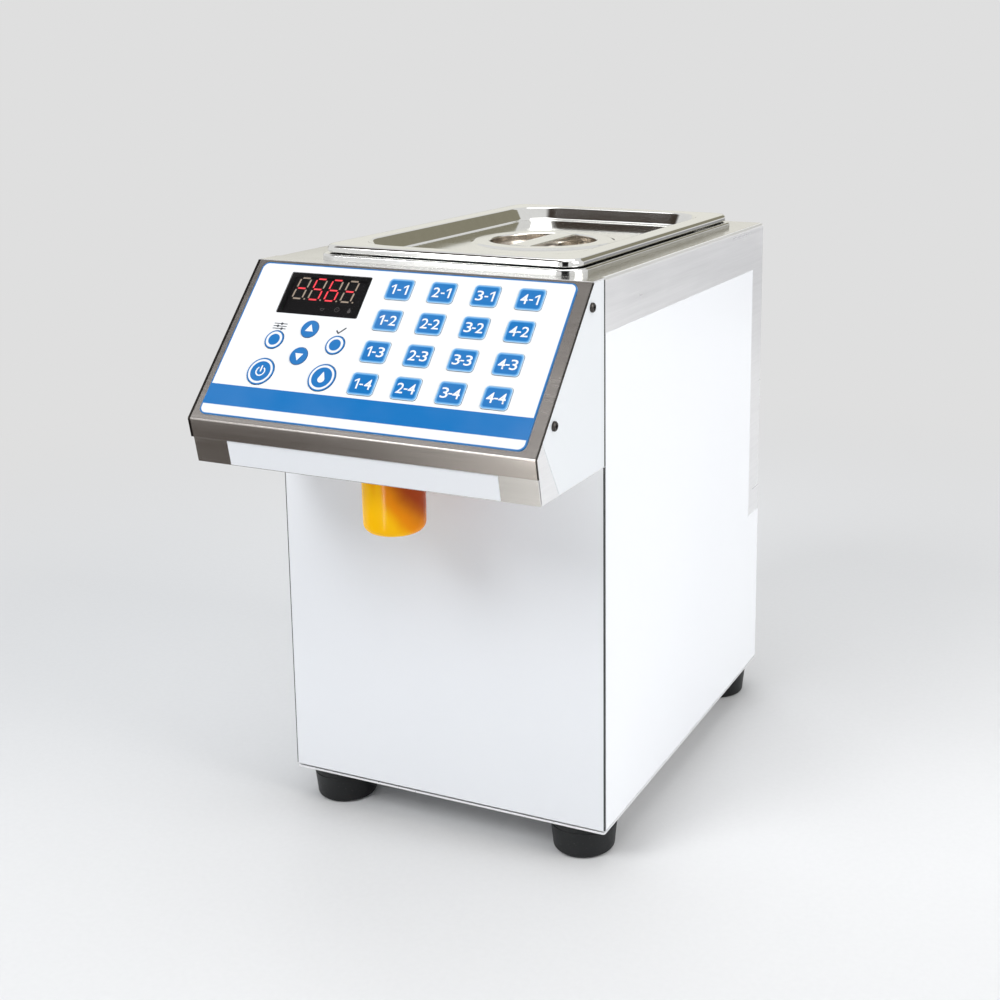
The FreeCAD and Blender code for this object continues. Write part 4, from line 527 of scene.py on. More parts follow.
def overlay_print():
    material, tree, inputs, place, _ = start_material("overlay_print", specular=0.12)
    flat = on_panel(tree, place)
    field = box_mask(tree, flat, (-1.3, -61.85), (119.1, 58.75), 4.4, 0.12)
    band = box_mask(tree, flat, (0, -106.4), (200, 7.6), 0.1, 0.12)
    white = times(tree, field, calc(tree, "SUBTRACT", 1.0, band))
    sheet_finish(tree, inputs, place, blend(tree, white, PRINT_BLUE, PRINT_WHITE))
    return material


finish["overlay_print"] = overlay_print()
print("overlay", finish["overlay_print"].name)

# %% [markdown]
# ## Square keys
# Sixteen square keys repeat on an even grid. One material can print all of them: the panel's
# coordinates are wrapped to a single pitch, so each key sees itself at the centre, and one rounded box
# gives its blue middle with a paler soft rim round it.

# %% Square key print
KEY_FIRST_X, KEY_FIRST_Y = -7.2, -16.6
KEY_ACROSS, KEY_DOWN = 32.1, 23.9


def key_print():
    material, tree, inputs, place, _ = start_material("key_blue", specular=0.12)
    first = Vector((KEY_FIRST_X * MM, KEY_FIRST_Y * MM, 0))
    flat = vector_math(tree, "SUBTRACT", on_panel(tree, place), first)
    half = Vector((KEY_ACROSS * MM / 2, KEY_DOWN * MM / 2, 1))
    tile = add(tree, "ShaderNodeVectorMath", {0: flat, 1: half, 2: -half}, operation="WRAP").outputs[0]
    middle = box_mask(tree, tile, (0, 0), (8.1, 6.7), 1.8, 0.35)
    rim = box_mask(tree, tile, (0, 0), (9.15, 7.65), 2.4, 0.35)
    pale = blend(tree, rim, (0.52, 0.71, 0.89), PRINT_BLUE_PALE)
    sheet_finish(tree, inputs, place, blend(tree, middle, pale, PRINT_BLUE))
    return material


finish["key_blue"] = key_print()
print("square keys", finish["key_blue"].name)

# %% [markdown]
# ## Round keys
# The six round keys have three prints. The two arrow keys are plain blue discs, and the other four are
# a blue disc inside a thin blue ring on white. Each printed ring is a list of radii round its own
# centre.

# %% Round key prints
LEFT_KEYS, MIDDLE_KEYS, RIGHT_KEYS = -86.8, -62.8, -38.8
SMALL_RINGS, LARGE_RINGS = ((0, 4.3), (6.0, 9)), ((0, 7.5), (9.0, 12))
ROUND_KEYS = {"key_up": (MIDDLE_KEYS, -52.0, ((0, 9),)), "key_down": (MIDDLE_KEYS, -72.7, ((0, 9),)),
              "key_setting": (LEFT_KEYS, -62.2, SMALL_RINGS), "key_save": (RIGHT_KEYS, -62.2, SMALL_RINGS),
              "key_power": (LEFT_KEYS, -86.7, LARGE_RINGS), "key_dose": (RIGHT_KEYS, -86.7, LARGE_RINGS)}


def round_key_print(name, x, y, rings):
    material, tree, inputs, place, _ = start_material(name + "_print", specular=0.12)
    flat = on_panel(tree, place)
    blue = None
    for inner, outer in rings:
        ring = place_group(tree, printed_ring, {"Vector": flat, "Centre": (x * MM, y * MM, 0),
                                                "Inner": (inner or -1) * MM, "Outer": outer * MM})["Mask"]
        blue = ring if blue is None else calc(tree, "MAXIMUM", blue, ring)
    sheet_finish(tree, inputs, place, blend(tree, blue, PRINT_WHITE, PRINT_BLUE))
    return material


round_prints = {name: round_key_print(name, *values) for name, values in ROUND_KEYS.items()}
finish["control_keys"] = round_prints["key_setting"]
print("round keys", len(round_prints))

# %% [markdown]
# ## The amber cap, the display and the board
# The cap is soft, slightly translucent plastic. Its colour carries painted light: painted shade turns it from
# yellow on its lit side to orange and brown towards its other side and its top, a paler upright streak is a
# painted highlight, and a weak painted glow brightens it all. The display is a smoked window over black,
# with lit red bars. The circuit board is green with a faint weave and pale tracks.

# %% Cap finish
CAP_MIDDLE = Vector((0, -175.184 * MM, 0))
# The cap's direction from its lit side towards its shaded side, per metre of its radius, for the painted
# shade.
CAP_SHADE_ACROSS = (0.919 / 0.0212, 0.393 / 0.0212, 0)


def cap_amber():
    material, tree, inputs, place, _ = start_material("cap_amber", subsurface=0.15, scale=0.004, specular=0.1)
    away = vector_math(tree, "SUBTRACT", place, CAP_MIDDLE)
    toward_shade = add(tree, "ShaderNodeVectorMath", {0: away, 1: CAP_SHADE_ACROSS},
                operation="DOT_PRODUCT").outputs["Value"]
    up = add(tree, "ShaderNodeSeparateXYZ", {"Vector": place}).outputs[2]
    height = spread(tree, up, 0.248, 0.284, 0, 1)
    cloud = noise(tree, place, 60, 2, 0.5)
    # Painted shade: darker towards the shaded side and the top, with a little random cloud in it.
    painted_shade = plus(tree, times(tree, toward_shade, 0.74), times(tree, height, 0.9))
    painted_shade = plus(tree, plus(tree, painted_shade, -0.32), times(tree, cloud, 0.2))
    # Painted highlight: less painted shade in an upright streak a third of the way across, so it reads paler
    # yellow.
    off_painted_highlight = calc(tree, "ABSOLUTE", plus(tree, toward_shade, 0.33))
    painted_shade = times(tree, painted_shade, spread(tree, off_painted_highlight, 0.03, 0.2, 0.3, 1, True))
    shaded_amber = blend(tree, spread(tree, painted_shade, 0.0, 0.42, 0, 1, True), (0.78, 0.415, 0.001), (0.68, 0.215, 0.001))
    tone = blend(tree, spread(tree, painted_shade, 0.36, 0.96, 0, 1, True), shaded_amber, (0.28, 0.040, 0.005))
    link(tree, tone, inputs["Base Color"])
    # Painted glow: the cap sends out its own colour as light, though it is no lamp.
    link(tree, tone, inputs["Emission Color"])
    inputs["Emission Strength"].default_value = 0.28
    skin = place_group(tree, grain, {"Vector": place, "Grain Size": 700})
    link(tree, even(tree, skin["Grain"], 0.18, 0.24), inputs["Roughness"])
    bump(tree, inputs, cloud, 0.00008)
    return material


finish["cap_amber"] = cap_amber()
print("cap", finish["cap_amber"].name)


# %% Display finishes
def smoked_window():
    material, tree, inputs, place, _ = start_material("display_lens", ior=1.46)
    skin = place_group(tree, grain, {"Vector": place, "Grain Size": 1200})
    touch = place_group(tree, handling, {"Vector": place, "Smudge Size": 45})
    link(tree, blend(tree, skin["Tone"], (0.004, 0.004, 0.005), (0.007, 0.006, 0.007)), inputs["Base Color"])
    link(tree, plus(tree, 0.05, times(tree, touch["Smudges"], 0.05)), inputs["Roughness"])
    link(tree, even(tree, skin["Tone"], 0.33, 0.36), inputs["Alpha"])
    return material


def lit_bar(name, colour, glow):
    """A display bar that lights itself, a little unevenly."""
    material, tree, inputs, place, _ = start_material(name)
    level = even(tree, noise(tree, place, 900, 1, 0.5), 0.8, 1.0)
    lit = blend(tree, level, (colour[0] * 0.6, colour[1] * 0.5, colour[2] * 0.5), colour)
    link(tree, lit, inputs["Base Color"])
    link(tree, lit, inputs["Emission Color"])
    inputs["Emission Strength"].default_value = glow
    inputs["Roughness"].default_value = 0.4
    return material


finish["display_lens"] = smoked_window()
bar_on = lit_bar("bar_on", (1.0, 0.07, 0.09), 2.6)
# Painted light: the unlit bars glow weakly in dull beige, for the light they catch behind the window.
unlit_bar_painted_glow = lit_bar("unlit_bar_painted_glow", (0.58, 0.47, 0.37), 1.3)
# Painted light: the faint signs glow weakly too.
sign_painted_glow = lit_bar("sign_painted_glow", (0.16, 0.15, 0.145), 1.0)
print("display finishes", finish["display_lens"].name, bar_on.name, unlit_bar_painted_glow.name)


# %% Circuit board and plain print finishes
def board_green():
    material, tree, inputs, place, _ = start_material("board_green", coat=0.2)
    weave = add(tree, "ShaderNodeTexBrick", {"Vector": on_panel(tree, place), "Scale": 160.0,
                                             "Mortar Size": 0.06}).outputs["Fac"]
    cloud = noise(tree, place, 60, 2, 0.5)
    tracks = spread(tree, cloud, 0.50, 0.53, 0, 1)
    base = blend(tree, tracks, (0.008, 0.075, 0.03), (0.015, 0.13, 0.05))
    link(tree, blend(tree, times(tree, weave, 0.25), base, (0.05, 0.22, 0.10)), inputs["Base Color"])
    link(tree, even(tree, cloud, 0.3, 0.42), inputs["Roughness"])
    bump(tree, inputs, tracks, 0.00003)
    return material


finish["board_green"] = board_green()
white_ink = moulded("white_ink", (0.86, 0.865, 0.875), (0.92, 0.925, 0.93), 0.35, 0.000004, 2600)
dark_ink = moulded("dark_ink", (0.03, 0.035, 0.045), (0.05, 0.055, 0.07), 0.4, 0.000004, 2600)
missing = sorted(set(slot_of_node.values()) - set(finish))
print("finishes", len(finish), "missing", missing)

# %% [markdown]
# ## Dressing the engineering meshes
# The engineering model comes as loose triangles with hard edges. A copy of each mesh is merged, its
# flat triangles are joined into whole faces, and a fine bevel catches light along the edges as folded
# sheet does. The copy stands for the original, which stays hidden for the physics.

# %% A helper that dresses a copy of a node
for name, node in nodes.items():
    for place in node.material_slots:
        place.material = finish[slot_of_node[name]]


def even_normals(piece):
    """Let large flat faces keep their own direction, so that only the small round ones shade round."""
    change = piece.modifiers.new("even", "WEIGHTED_NORMAL")
    change.mode = "FACE_AREA"
    change.weight = 50
    change.keep_sharp = True


MERGE_WITHIN = 0.000004
FLAT_WITHIN = radians(0.6)
SHARP_FROM = radians(35)


def dressed(name, edge, material=None, fold=0, at_fold=None):
    """A merged, bevelled copy of a node's mesh that stands for the node, with a rounder fold where asked."""
    bm = bmesh.new()
    bm.from_mesh(nodes[name].data)
    bmesh.ops.remove_doubles(bm, verts=bm.verts, dist=MERGE_WITHIN)
    bmesh.ops.dissolve_limit(bm, angle_limit=FLAT_WITHIN, verts=bm.verts, edges=bm.edges)
    if fold:
        chosen = [side for side in bm.edges if side.calc_face_angle(0) > 1 and all(map(at_fold, side.verts))]
        round_off(bm, chosen, fold, 6)
    for face in bm.faces:
        face.smooth = True
    for side in bm.edges:
        side.smooth = side.calc_face_angle(pi) < SHARP_FROM
    mesh = bpy.data.meshes.new(name + "_dressed")
    bm.to_mesh(mesh)
    bm.free()
    slot = slot_of_node[name]
    piece = finish_piece(name + "_dressed", mesh, body_of_node[name], material or finish[slot],
                         (name,))
    if edge:
        bevel = piece.modifiers.new("edge", "BEVEL")
        bevel.width = edge * MM
        bevel.segments = 2
        bevel.limit_method = "ANGLE"
        bevel.angle_limit = SHARP_FROM
        bevel.use_clamp_overlap = True
        bevel.harden_normals = not fold
    if fold:
        even_normals(piece)
    return piece


def second_finish(piece, material, test):
    """Give another finish to the faces that pass a test on their middle and direction."""
    piece.data.materials.append(material)
    for face in piece.data.polygons:
        if test(face.center, face.normal):
            face.material_index = 1


print("dressing helper ready")

# %% [markdown]
# ## Cabinet, console and panel
# The folded sheets get a bevel of a few tenths of a millimetre, which is what a bent or cut edge of
# thin steel shows. The films are much thinner, so theirs is finer still.

# %% Dress the cabinet
for name in ("front_panel", "console_cheeks", "rear_panel", "base_plate", "panel_plate"):
    dressed(name, 0.2)
dressed("console_tray", 0.2, finish["tray_steel"])
# Painted reflection: the sheet's upward faces get the darker beige roof steel.
second_finish(dressed("body_wrap", 0.2), finish["roof_steel"],
              lambda middle, facing: middle.z > 0.4148 and facing.z > 0.97)
dressed("side_films", 0.05)
# Painted shade: the film's sideways faces beside the console get a darker copy of the same white film.
shaded_cheek_film = white_film("shaded_cheek_film", (0.76, 0.785, 0.81), (0.80, 0.82, 0.84))
second_finish(dressed("front_films", 0.05), shaded_cheek_film, lambda middle, facing: abs(facing.x) > 0.9)
dressed("panel_overlay", 0.08)
print("cabinet pieces", len(made))

# %% [markdown]
# ## Lid, pan and the small hardware
# The pan is pressed from sheet, and its rim is rolled over at its outer edge. A rounder fold there
# draws the bright line under the lid. The lid itself is modelled afresh further on.

# %% Dress the pan and the hardware
LID_MIDDLE = Vector((11 * MM, 27.316 * MM, 0))


def on_rim(vert):
    """True for the upper outer edge of the pan's rim."""
    away = vert.co - LID_MIDDLE
    return vert.co.z > 0.4193 and (abs(away.x) > 0.0958 or abs(away.y) > 0.1493)


dressed("syrup_pan", 0.1, fold=1.6, at_fold=on_rim)
dressed("lid_handle", 0.1, fold=0.9,
        at_fold=lambda vert: vert.co.z > 0.4166 and abs(vert.co.x - LID_MIDDLE.x) > 0.0084)
dressed("pan_outlet", 0.1)
BEVELS = {0.06: ("foot_screws", "case_screws", "board_posts", "pump_screws", "hose_clips"),
          0.12: ("pump_body", "pump_cover", "pump_motor", "pump_bracket", "drive_gear", "driven_gear",
                 "power_supply", "mains_inlet", "power_rocker", "nozzle", "nozzle_nut", "control_board",
                 "display_module"), 0: ("suction_hose", "delivery_hose", "wiring")}
for edge, names in BEVELS.items():
    for name in names:
        dressed(name, edge)
print("pieces", len(made))

# %% [markdown]
# ## Keys
# Each key is a thin pad that stands a little proud of the overlay. Its edge is domed very slightly by
# the bevel, and its print comes from the materials above.

# %% Dress the keys
for column in range(4):
    for row in range(4):
        dressed(f"key_{column + 1}_{row + 1}", 0.12)
for name, material in round_prints.items():
    dressed(name, 0.12, material)
print("pieces", len(made))

# %% [markdown]
# ## Turned pieces
# The amber cap and the rubber feet are round, so half of each outline is drawn as a chain of points and
# spun a full turn about its axis. The ring is merged where it closes, and so are the points on the
# axis. A spin gives an even ring of faces, which bends light better than the engineering triangles do.

# %% A helper that spins an outline
def spun(outline, steps=96):
    """A closed round shape from (radius, height) points in millimetres."""
    bm = bmesh.new()
    points = [bm.verts.new((radius * MM, 0, height * MM)) for radius, height in outline]
    chain = [bm.edges.new(pair) for pair in zip(points, points[1:])]
    bmesh.ops.spin(bm, geom=points + chain, cent=(0, 0, 0), axis=(0, 0, 1), dvec=(0, 0, 0), angle=2 * pi,
                   steps=steps, use_merge=True, use_duplicate=False)
    bmesh.ops.remove_doubles(bm, verts=bm.verts, dist=0.000002)
    return bm


def arc(middle_radius, middle_height, size, start, end, count):
    """Points on a quarter or part of a circle, angles in degrees from outwards to up."""
    turns = [radians(start + (end - start) * step / count) for step in range(count + 1)]
    return [(middle_radius + size * cos(turn), middle_height + size * sin(turn)) for turn in turns]


print("spin helper ready")

# %% The soft cap
cap_outline = ([(0, 244.4), (0.9, 244.45), (1.6, 244.8), (2.4, 245.5), (4.5, 245.9), (9.5, 246.3)]
               + arc(14.4, 252.8, 6.4, -84, -2, 10) + [(20.95, 260), (21.05, 275), (21.15, 287.5)]
               + arc(20.2, 287.55, 0.95, 0, 90, 4)
               + [(19.3, 288.5), (18.6, 287.9), (18.55, 262)] + arc(14.25, 254.1, 4.3, 0, -90, 8)
               + [(0, 249.6)])
bm = spun(cap_outline)
bmesh.ops.translate(bm, verts=bm.verts, vec=CAP_MIDDLE)
finish_piece("nozzle_cap_soft", mesh_from(bm, "nozzle_cap_soft"), "nozzle_cap",
             finish["cap_amber"], ("nozzle_cap",))

# %% [markdown]
# ## The polished lid
# Polished sheet shows every ripple, so the lid is built from even rings of points instead of loose
# triangles. Each ring is a rectangle with round corners or a circle, at its own height. Neighbouring
# rings are joined by faces, from the skirt over the rim, down the recess, over the pressed ring and
# into the finger bowl, and then back along the underside one sheet's thickness away.

# %% Rings of the lid
TURN_STEPS, ACROSS_STEPS, ALONG_STEPS = 14, 24, 44
LID_HALF, LID_CORNER = (97.5, 151.0), 13.5
RECESS_HALF, RECESS_CORNER = (82.5, 136.0), 33.0
LID_LOW, LID_TOP, RECESS_FLOOR, RING_TOP = 419.5, 425.68, 415.5, 416.7


def sweep(start, end, count):
    """Even turns from one angle to another, both in degrees."""
    return [radians(start + (end - start) * step / count) for step in range(count + 1)]


def oblong(half, corner, inset, height):
    """Points round a rectangle with round corners, drawn in from its outline by an inset."""
    half = Vector(half) - Vector((inset, inset))
    corner -= inset
    quarters = [[Vector((x * (half.x - corner) + corner * cos(turn),
                         y * (half.y - corner) + corner * sin(turn), height))
                 for turn in sweep(start, start + 90, TURN_STEPS)]
                for x, y, start in ((1, 1, 0), (-1, 1, 90), (-1, -1, 180), (1, -1, 270))]
    points = []
    for place, quarter in enumerate(quarters):
        count = (ACROSS_STEPS, ALONG_STEPS)[place % 2]
        following = quarters[(place + 1) % 4][0]
        points += quarter + [quarter[-1].lerp(following, step / count) for step in range(1, count)]
    return points


ROUND_TURNS = [atan2(point.y, point.x) for point in oblong(RECESS_HALF, RECESS_CORNER, 7.6, 0)]


def circle(radius, height):
    return [Vector((radius * cos(turn), radius * sin(turn), height)) for turn in ROUND_TURNS]


RIM_ROUND, WALL_ROUND = 3.2, 3.0
rim = [oblong(LID_HALF, LID_CORNER, 0.6 * (1 - cos(turn)), LID_LOW + 1.5 + 0.6 * sin(turn))
       for turn in sweep(-90, 0, 4)]
rim += [oblong(LID_HALF, LID_CORNER, RIM_ROUND * (1 - cos(turn)), LID_TOP - RIM_ROUND * (1 - sin(turn)))
        for turn in sweep(0, 90, 12)]
wall = [oblong(RECESS_HALF, RECESS_CORNER, WALL_ROUND * sin(turn) - 1.73,
               LID_TOP - WALL_ROUND * (1 - cos(turn))) for turn in sweep(0, 60, 9)]
wall += [oblong(RECESS_HALF, RECESS_CORNER, 7.62 - WALL_ROUND * sin(turn),
                RECESS_FLOOR + WALL_ROUND * (1 - cos(turn))) for turn in sweep(60, 0, 9)]
step_up = [circle(55.2 - 3.4 * share, RECESS_FLOOR + 1.2 * share * share * (3 - 2 * share))
           for share in (part / 8 for part in range(9))]
bowl = [circle(42.1 - 1.6 * sin(turn), RING_TOP - 1.6 * (1 - cos(turn))) for turn in sweep(0, 90, 8)]
bowl += [circle(26 + 14.5 * cos(turn), 412.5 - 11 * sin(turn)) for turn in sweep(0, 90, 18)]
bowl += [circle(radius, 401.5) for radius in (18, 9, 1)]
under = [circle(radius, 400.5) for radius in (1, 9, 18)]
under += [circle(26 + 15.5 * cos(turn), 412.5 - 12 * sin(turn)) for turn in sweep(90, 0, 18)]
under += [circle(41.5, 414.5)]
under += [oblong(RECESS_HALF, RECESS_CORNER, 7.62 - 4.0 * sin(turn), RECESS_FLOOR + 3.0 - 4.0 * cos(turn))
          for turn in sweep(0, 60, 9)]
under += [oblong(RECESS_HALF, RECESS_CORNER, -0.57, LID_TOP - 1)]
under += [oblong(LID_HALF, LID_CORNER, inset, height)
          for inset, height in ((2.6, LID_TOP - 1), (1.2, LID_TOP - 2.6), (1.2, LID_LOW + 0.9))]
upper_side = rim + wall + step_up + bowl
print("lid rings", len(upper_side + under), "points each", len(ROUND_TURNS))

# %% Join the rings
bm = bmesh.new()
rings = [[bm.verts.new(point * MM + LID_MIDDLE) for point in ring] for ring in upper_side + under]
for place, ring in enumerate(rings):
    following = rings[(place + 1) % len(rings)]
    if place + 1 == len(upper_side):
        bm.faces.new(ring)
        bm.faces.new(following)
        continue
    for first in range(len(ring)):
        second = (first + 1) % len(ring)
        bm.faces.new((ring[first], ring[second], following[second], following[first]))
piece = finish_piece("lid_polished", mesh_from(bm, "lid_polished"), body_of_node["lid"],
                     finish["lid_steel"], ("lid",))
piece.data.set_sharp_from_angle(angle=radians(50))
even_normals(piece)
# Painted reflection: the finger bowl gets the rougher dark brown bowl steel.
second_finish(piece, finish["bowl_steel"], lambda middle, facing: middle.z < 0.4158
              and (middle.xy - LID_MIDDLE.xy).length < 0.0412)
print("lid faces", len(piece.data.polygons), "slot", slot_of_node["lid"])

# %% [markdown]
# ## Rubber feet
# Each foot is a tapered rubber plug. Its lower edge is rounded from standing on the bench, a shallow
# groove runs round it near the top, and the screw sits in a recess underneath.

# %% The four feet
FOOT_PLACES = [(side * 100 * MM, y * MM) for side in (-1, 1) for y in (-95.184, 188.816)]
foot_outline = ([(9, 0.05), (19.5, 0.05)] + arc(19.2, 3.0, 3.0, -70, -8, 6)
                + [(22.45, 6.0), (23.9, 19.2)] + arc(24.1, 20.0, 0.55, -100, -190, 4)
                + [(23.95, 20.9), (24.3, 21.3), (24.45, 24.95), (2.2, 24.95), (2.2, 19.0), (9, 19.0),
                   (9, 0.05)])
bm = bmesh.new()
for x, y in FOOT_PLACES:
    one = spun(foot_outline, 72)
    bmesh.ops.translate(one, verts=one.verts, vec=(x, y, 0))
    part = mesh_from(one, "foot")
    bm.from_mesh(part)
feet = finish_piece("rubber_feet_moulded", mesh_from(bm, "rubber_feet_moulded"), "cabinet",
                    finish["foot_rubber"], ("rubber_feet",))
feet.data.set_sharp_from_angle(angle=radians(40))
print("feet", len(FOOT_PLACES))

# %% [markdown]
# ## Seam shadow strips
# The cabinet's sides meet the front plate at the two upright corners. A thin dark strip in each seam is
# painted shadow: it stands for the shade in the seam's gap. Below the console the strip turns the corner
# onto the front. Beside the console it lies on the side, between the console's cheek and the side sheet.

# %% Dark strips of painted shadow in the two front seams
CABINET_FRONT = -120.184
HALF_WIDTH = 127.0
STRIP_RISE = 0.22
LOW_PROFILE = ((-0.6, 0.0), (-0.6, -STRIP_RISE), (0.1, -STRIP_RISE), (STRIP_RISE, -0.1), (STRIP_RISE, 1.5),
               (0.0, 1.7))
HIGH_PROFILE = ((0.0, -0.5), (STRIP_RISE, -0.3), (STRIP_RISE, 1.5), (0.0, 1.7))
SEAM_SHADOW_STRIPS = ((LOW_PROFILE, 28.2, 288.9), (HIGH_PROFILE, 289.6, 413.6))


def seam_bead(side):
    """A painted-shadow strip of one plan outline below the console and a plainer one beside it."""
    bm = bmesh.new()
    for profile, low, high in SEAM_SHADOW_STRIPS:
        rings = [[bm.verts.new((side * (HALF_WIDTH + x) * MM, (CABINET_FRONT + y) * MM, z * MM))
                  for x, y in profile] for z in (low, high)]
        for first in range(len(profile)):
            second = (first + 1) % len(profile)
            bm.faces.new((rings[0][first], rings[0][second], rings[1][second], rings[1][first]))
        bm.faces.new(rings[0])
        bm.faces.new(rings[1])
    return bm


# Painted shadow: the strips are near black, for the shade in the seam's gap.
seam_shadow_finish = moulded("seam_painted_shadow", (0.022, 0.025, 0.026), (0.04, 0.044, 0.045), 0.5, 0.00002, 1200)
for side, word in ((-1, "left"), (1, "right")):
    finish_piece("seam_bead_" + word, mesh_from(seam_bead(side), "seam_bead_" + word, False), "cabinet",
                 seam_shadow_finish)
print("seam beads", 2)

# %% [markdown]
# ## Flat pieces on the panel
# Print symbols, numerals and display bars are thin flat shapes. Each is made flat at the origin, then
# set on the panel with the panel's matrix, a hair above what carries it, so that it never fights with
# the surface below. The place is applied to the mesh, and the object stays at the origin.

# %% Helpers for flat shapes
def shift(bm, x=0.0, y=0.0, z=0.0):
    """Move a shape by millimetres."""
    bmesh.ops.translate(bm, verts=bm.verts, vec=(x * MM, y * MM, z * MM))
    return bm


def swing(bm, turn):
    """Turn a flat shape about the origin."""
    bmesh.ops.rotate(bm, verts=bm.verts, cent=(0, 0, 0), matrix=Matrix.Rotation(turn, 3, "Z"))
    return bm


def lay_on_panel(bm, x, y, lift):
    """Move a flat shape to its place on the panel, in millimetres, at a height above the plate."""
    place = PANEL @ Matrix.Translation((x * MM, y * MM, lift * MM))
    bmesh.ops.transform(bm, matrix=place, verts=bm.verts)
    return bm


def merged(parts):
    """Several bmeshes in one."""
    whole = bmesh.new()
    for part in parts:
        mesh = bpy.data.meshes.new("part")
        part.to_mesh(mesh)
        part.free()
        whole.from_mesh(mesh)
        bpy.data.meshes.remove(mesh)
    return whole


def flat_mesh(bm, name):
    """A flat shape as a mesh that faces out of the panel."""
    outwards = PANEL.to_3x3() @ Vector((0, 0, 1))
    bm.normal_update()
    bmesh.ops.reverse_faces(bm, faces=[face for face in bm.faces if face.normal.dot(outwards) < 0])
    mesh = bpy.data.meshes.new(name)
    bm.to_mesh(mesh)
    bm.free()
    return mesh


def disc(radius, segments=48):
    bm = bmesh.new()
    bmesh.ops.create_circle(bm, cap_ends=True, segments=segments, radius=radius * MM)
    return bm


def hoop(radius, width, start=0.0, sweep=360.0, steps=48):
    """A flat ring or part of one: a short edge spun round the middle."""
    bm = bmesh.new()
    ends = [bm.verts.new((reach * MM * cos(radians(start)), reach * MM * sin(radians(start)), 0))
            for reach in (radius - width / 2, radius + width / 2)]
    edge = bm.edges.new(ends)
    bmesh.ops.spin(bm, geom=ends + [edge], cent=(0, 0, 0), axis=(0, 0, 1), dvec=(0, 0, 0),
                   angle=radians(sweep), steps=steps, use_merge=sweep == 360.0, use_duplicate=False)
    return bm


def bar(length, width, point=0.0):
    """A flat bar along x; point is how far its ends are cut to a point."""
    bm = disc(1, 6)
    for vert in bm.verts:
        side = 1 if vert.co.x > 0 else -1
        outer = abs(vert.co.y) < 1e-6
        vert.co.x = side * (length / 2 - (0 if outer else point)) * MM
        vert.co.y = 0 if outer else (width / 2 * MM if vert.co.y > 0 else -width / 2 * MM)
    return bm


print("flat shape helpers ready")

# %% [markdown]
# ## Numerals on the square keys
# Each key carries its column and row, as plain figures. Most figures come from the font: a font curve
# is made bolder, turned into a mesh and fitted to the size of the print. The figure one is drawn from
# listed points, because the print gives it a small flag. They ride on their own key, so they go in when
# the key is pressed.

# %% Key numerals
KEY_TOP = 2.42
FIGURE_HIGH, FIGURE_WIDE, ONE_WIDE = 7.4, 5.2, 3.3
DASH_LONG, DASH_THICK = 2.7, 1.0
PRINT_WIDE = 13.6
ONE_OUTLINE = ((0.45, -0.5), (0.45, 0.5), (0.14, 0.5), (-0.5, 0.3), (-0.5, 0.15), (0.1, 0.33), (0.1, -0.5))


def drawn_one():
    """The figure one with a small flag, one unit high and wide."""
    bm = bmesh.new()
    bm.faces.new([bm.verts.new((x, y, 0)) for x, y in ONE_OUTLINE])
    return bm


def font_figure(word):
    """A flat figure from the font, made a little bolder."""
    curve = bpy.data.curves.new("figure", "FONT")
    curve.body = word
    curve.size = 1
    curve.offset = 0.006
    carrier = put_in_scene("figure", curve)
    mesh = bpy.data.meshes.new_from_object(carrier)
    bpy.data.objects.remove(carrier)
    bm = bmesh.new()
    bm.from_mesh(mesh)
    return bm


def fitted(bm, width, height, x):
    """Centre a flat shape at x on the baseline's middle and fit it to a size in millimetres."""
    low = [min(vert.co[axis] for vert in bm.verts) for axis in (0, 1)]
    high = [max(vert.co[axis] for vert in bm.verts) for axis in (0, 1)]
    middle = [(start + end) / 2 for start, end in zip(low, high)]
    grow = [size * MM / (end - start) for size, start, end in zip((width, height), low, high)]
    bmesh.ops.translate(bm, verts=bm.verts, vec=(-middle[0], -middle[1], 0))
    bmesh.ops.scale(bm, verts=bm.verts, vec=(*grow, 1))
    return shift(bm, x)


def key_figures(first, second):
    """Two figures with a dash between them."""
    parts = []
    ends = []
    for side, number in ((-1, first), (1, second)):
        wide = ONE_WIDE if number == 1 else FIGURE_WIDE
        shape = drawn_one() if number == 1 else font_figure(str(number))
        narrow = (FIGURE_WIDE - ONE_WIDE) / 4 if number == 1 else 0
        parts.append(fitted(shape, wide, FIGURE_HIGH, side * (PRINT_WIDE / 2 - wide / 2 - narrow)))
        ends.append(side * (PRINT_WIDE / 2 - wide - narrow))
    return merged(parts + [shift(bar(DASH_LONG, DASH_THICK), sum(ends) / 2, -0.4)])


for column in range(4):
    for row in range(4):
        key = f"key_{column + 1}_{row + 1}"
        bm = key_figures(column + 1, row + 1)
        lay_on_panel(bm, KEY_FIRST_X + KEY_ACROSS * column, KEY_FIRST_Y - KEY_DOWN * row, KEY_TOP)
        finish_piece(key + "_figures", flat_mesh(bm, key + "_figures"), key, white_ink)
print("numerals", 16)

# %% Symbols on the round keys
DROP_RADIUS = 2.6


def drop_shape():
    """A round drop drawn out to a point at its top."""
    bm = disc(DROP_RADIUS, 40)
    for vert in bm.verts:
        if vert.co.y > 0:
            reach = vert.co.y / (DROP_RADIUS * MM)
            vert.co.x *= 1 - 0.75 * min(reach, 1)
            vert.co.y *= 2.1
    return shift(bm, y=-1.2)


symbols = {"key_up": disc(3.6, 3), "key_down": swing(disc(3.6, 3), pi),
           "key_power": merged([hoop(3.2, 0.9, 125, 290, 40), shift(swing(bar(4.6, 1.0), pi / 2), y=2.0)]),
           "key_dose": drop_shape()}
for key, bm in symbols.items():
    x, y, _ = ROUND_KEYS[key]
    lay_on_panel(bm, x, y, KEY_TOP)
    finish_piece(key + "_symbol", flat_mesh(bm, key + "_symbol"), key, white_ink)
print("symbols", list(symbols))

# %% [markdown]
# ## Plain marks above two keys
# Small dark marks stand where the panel has captions: three sliders for setting, and a tick for saving.
# They are ink on the overlay, so they lie on it and ride on the cabinet.

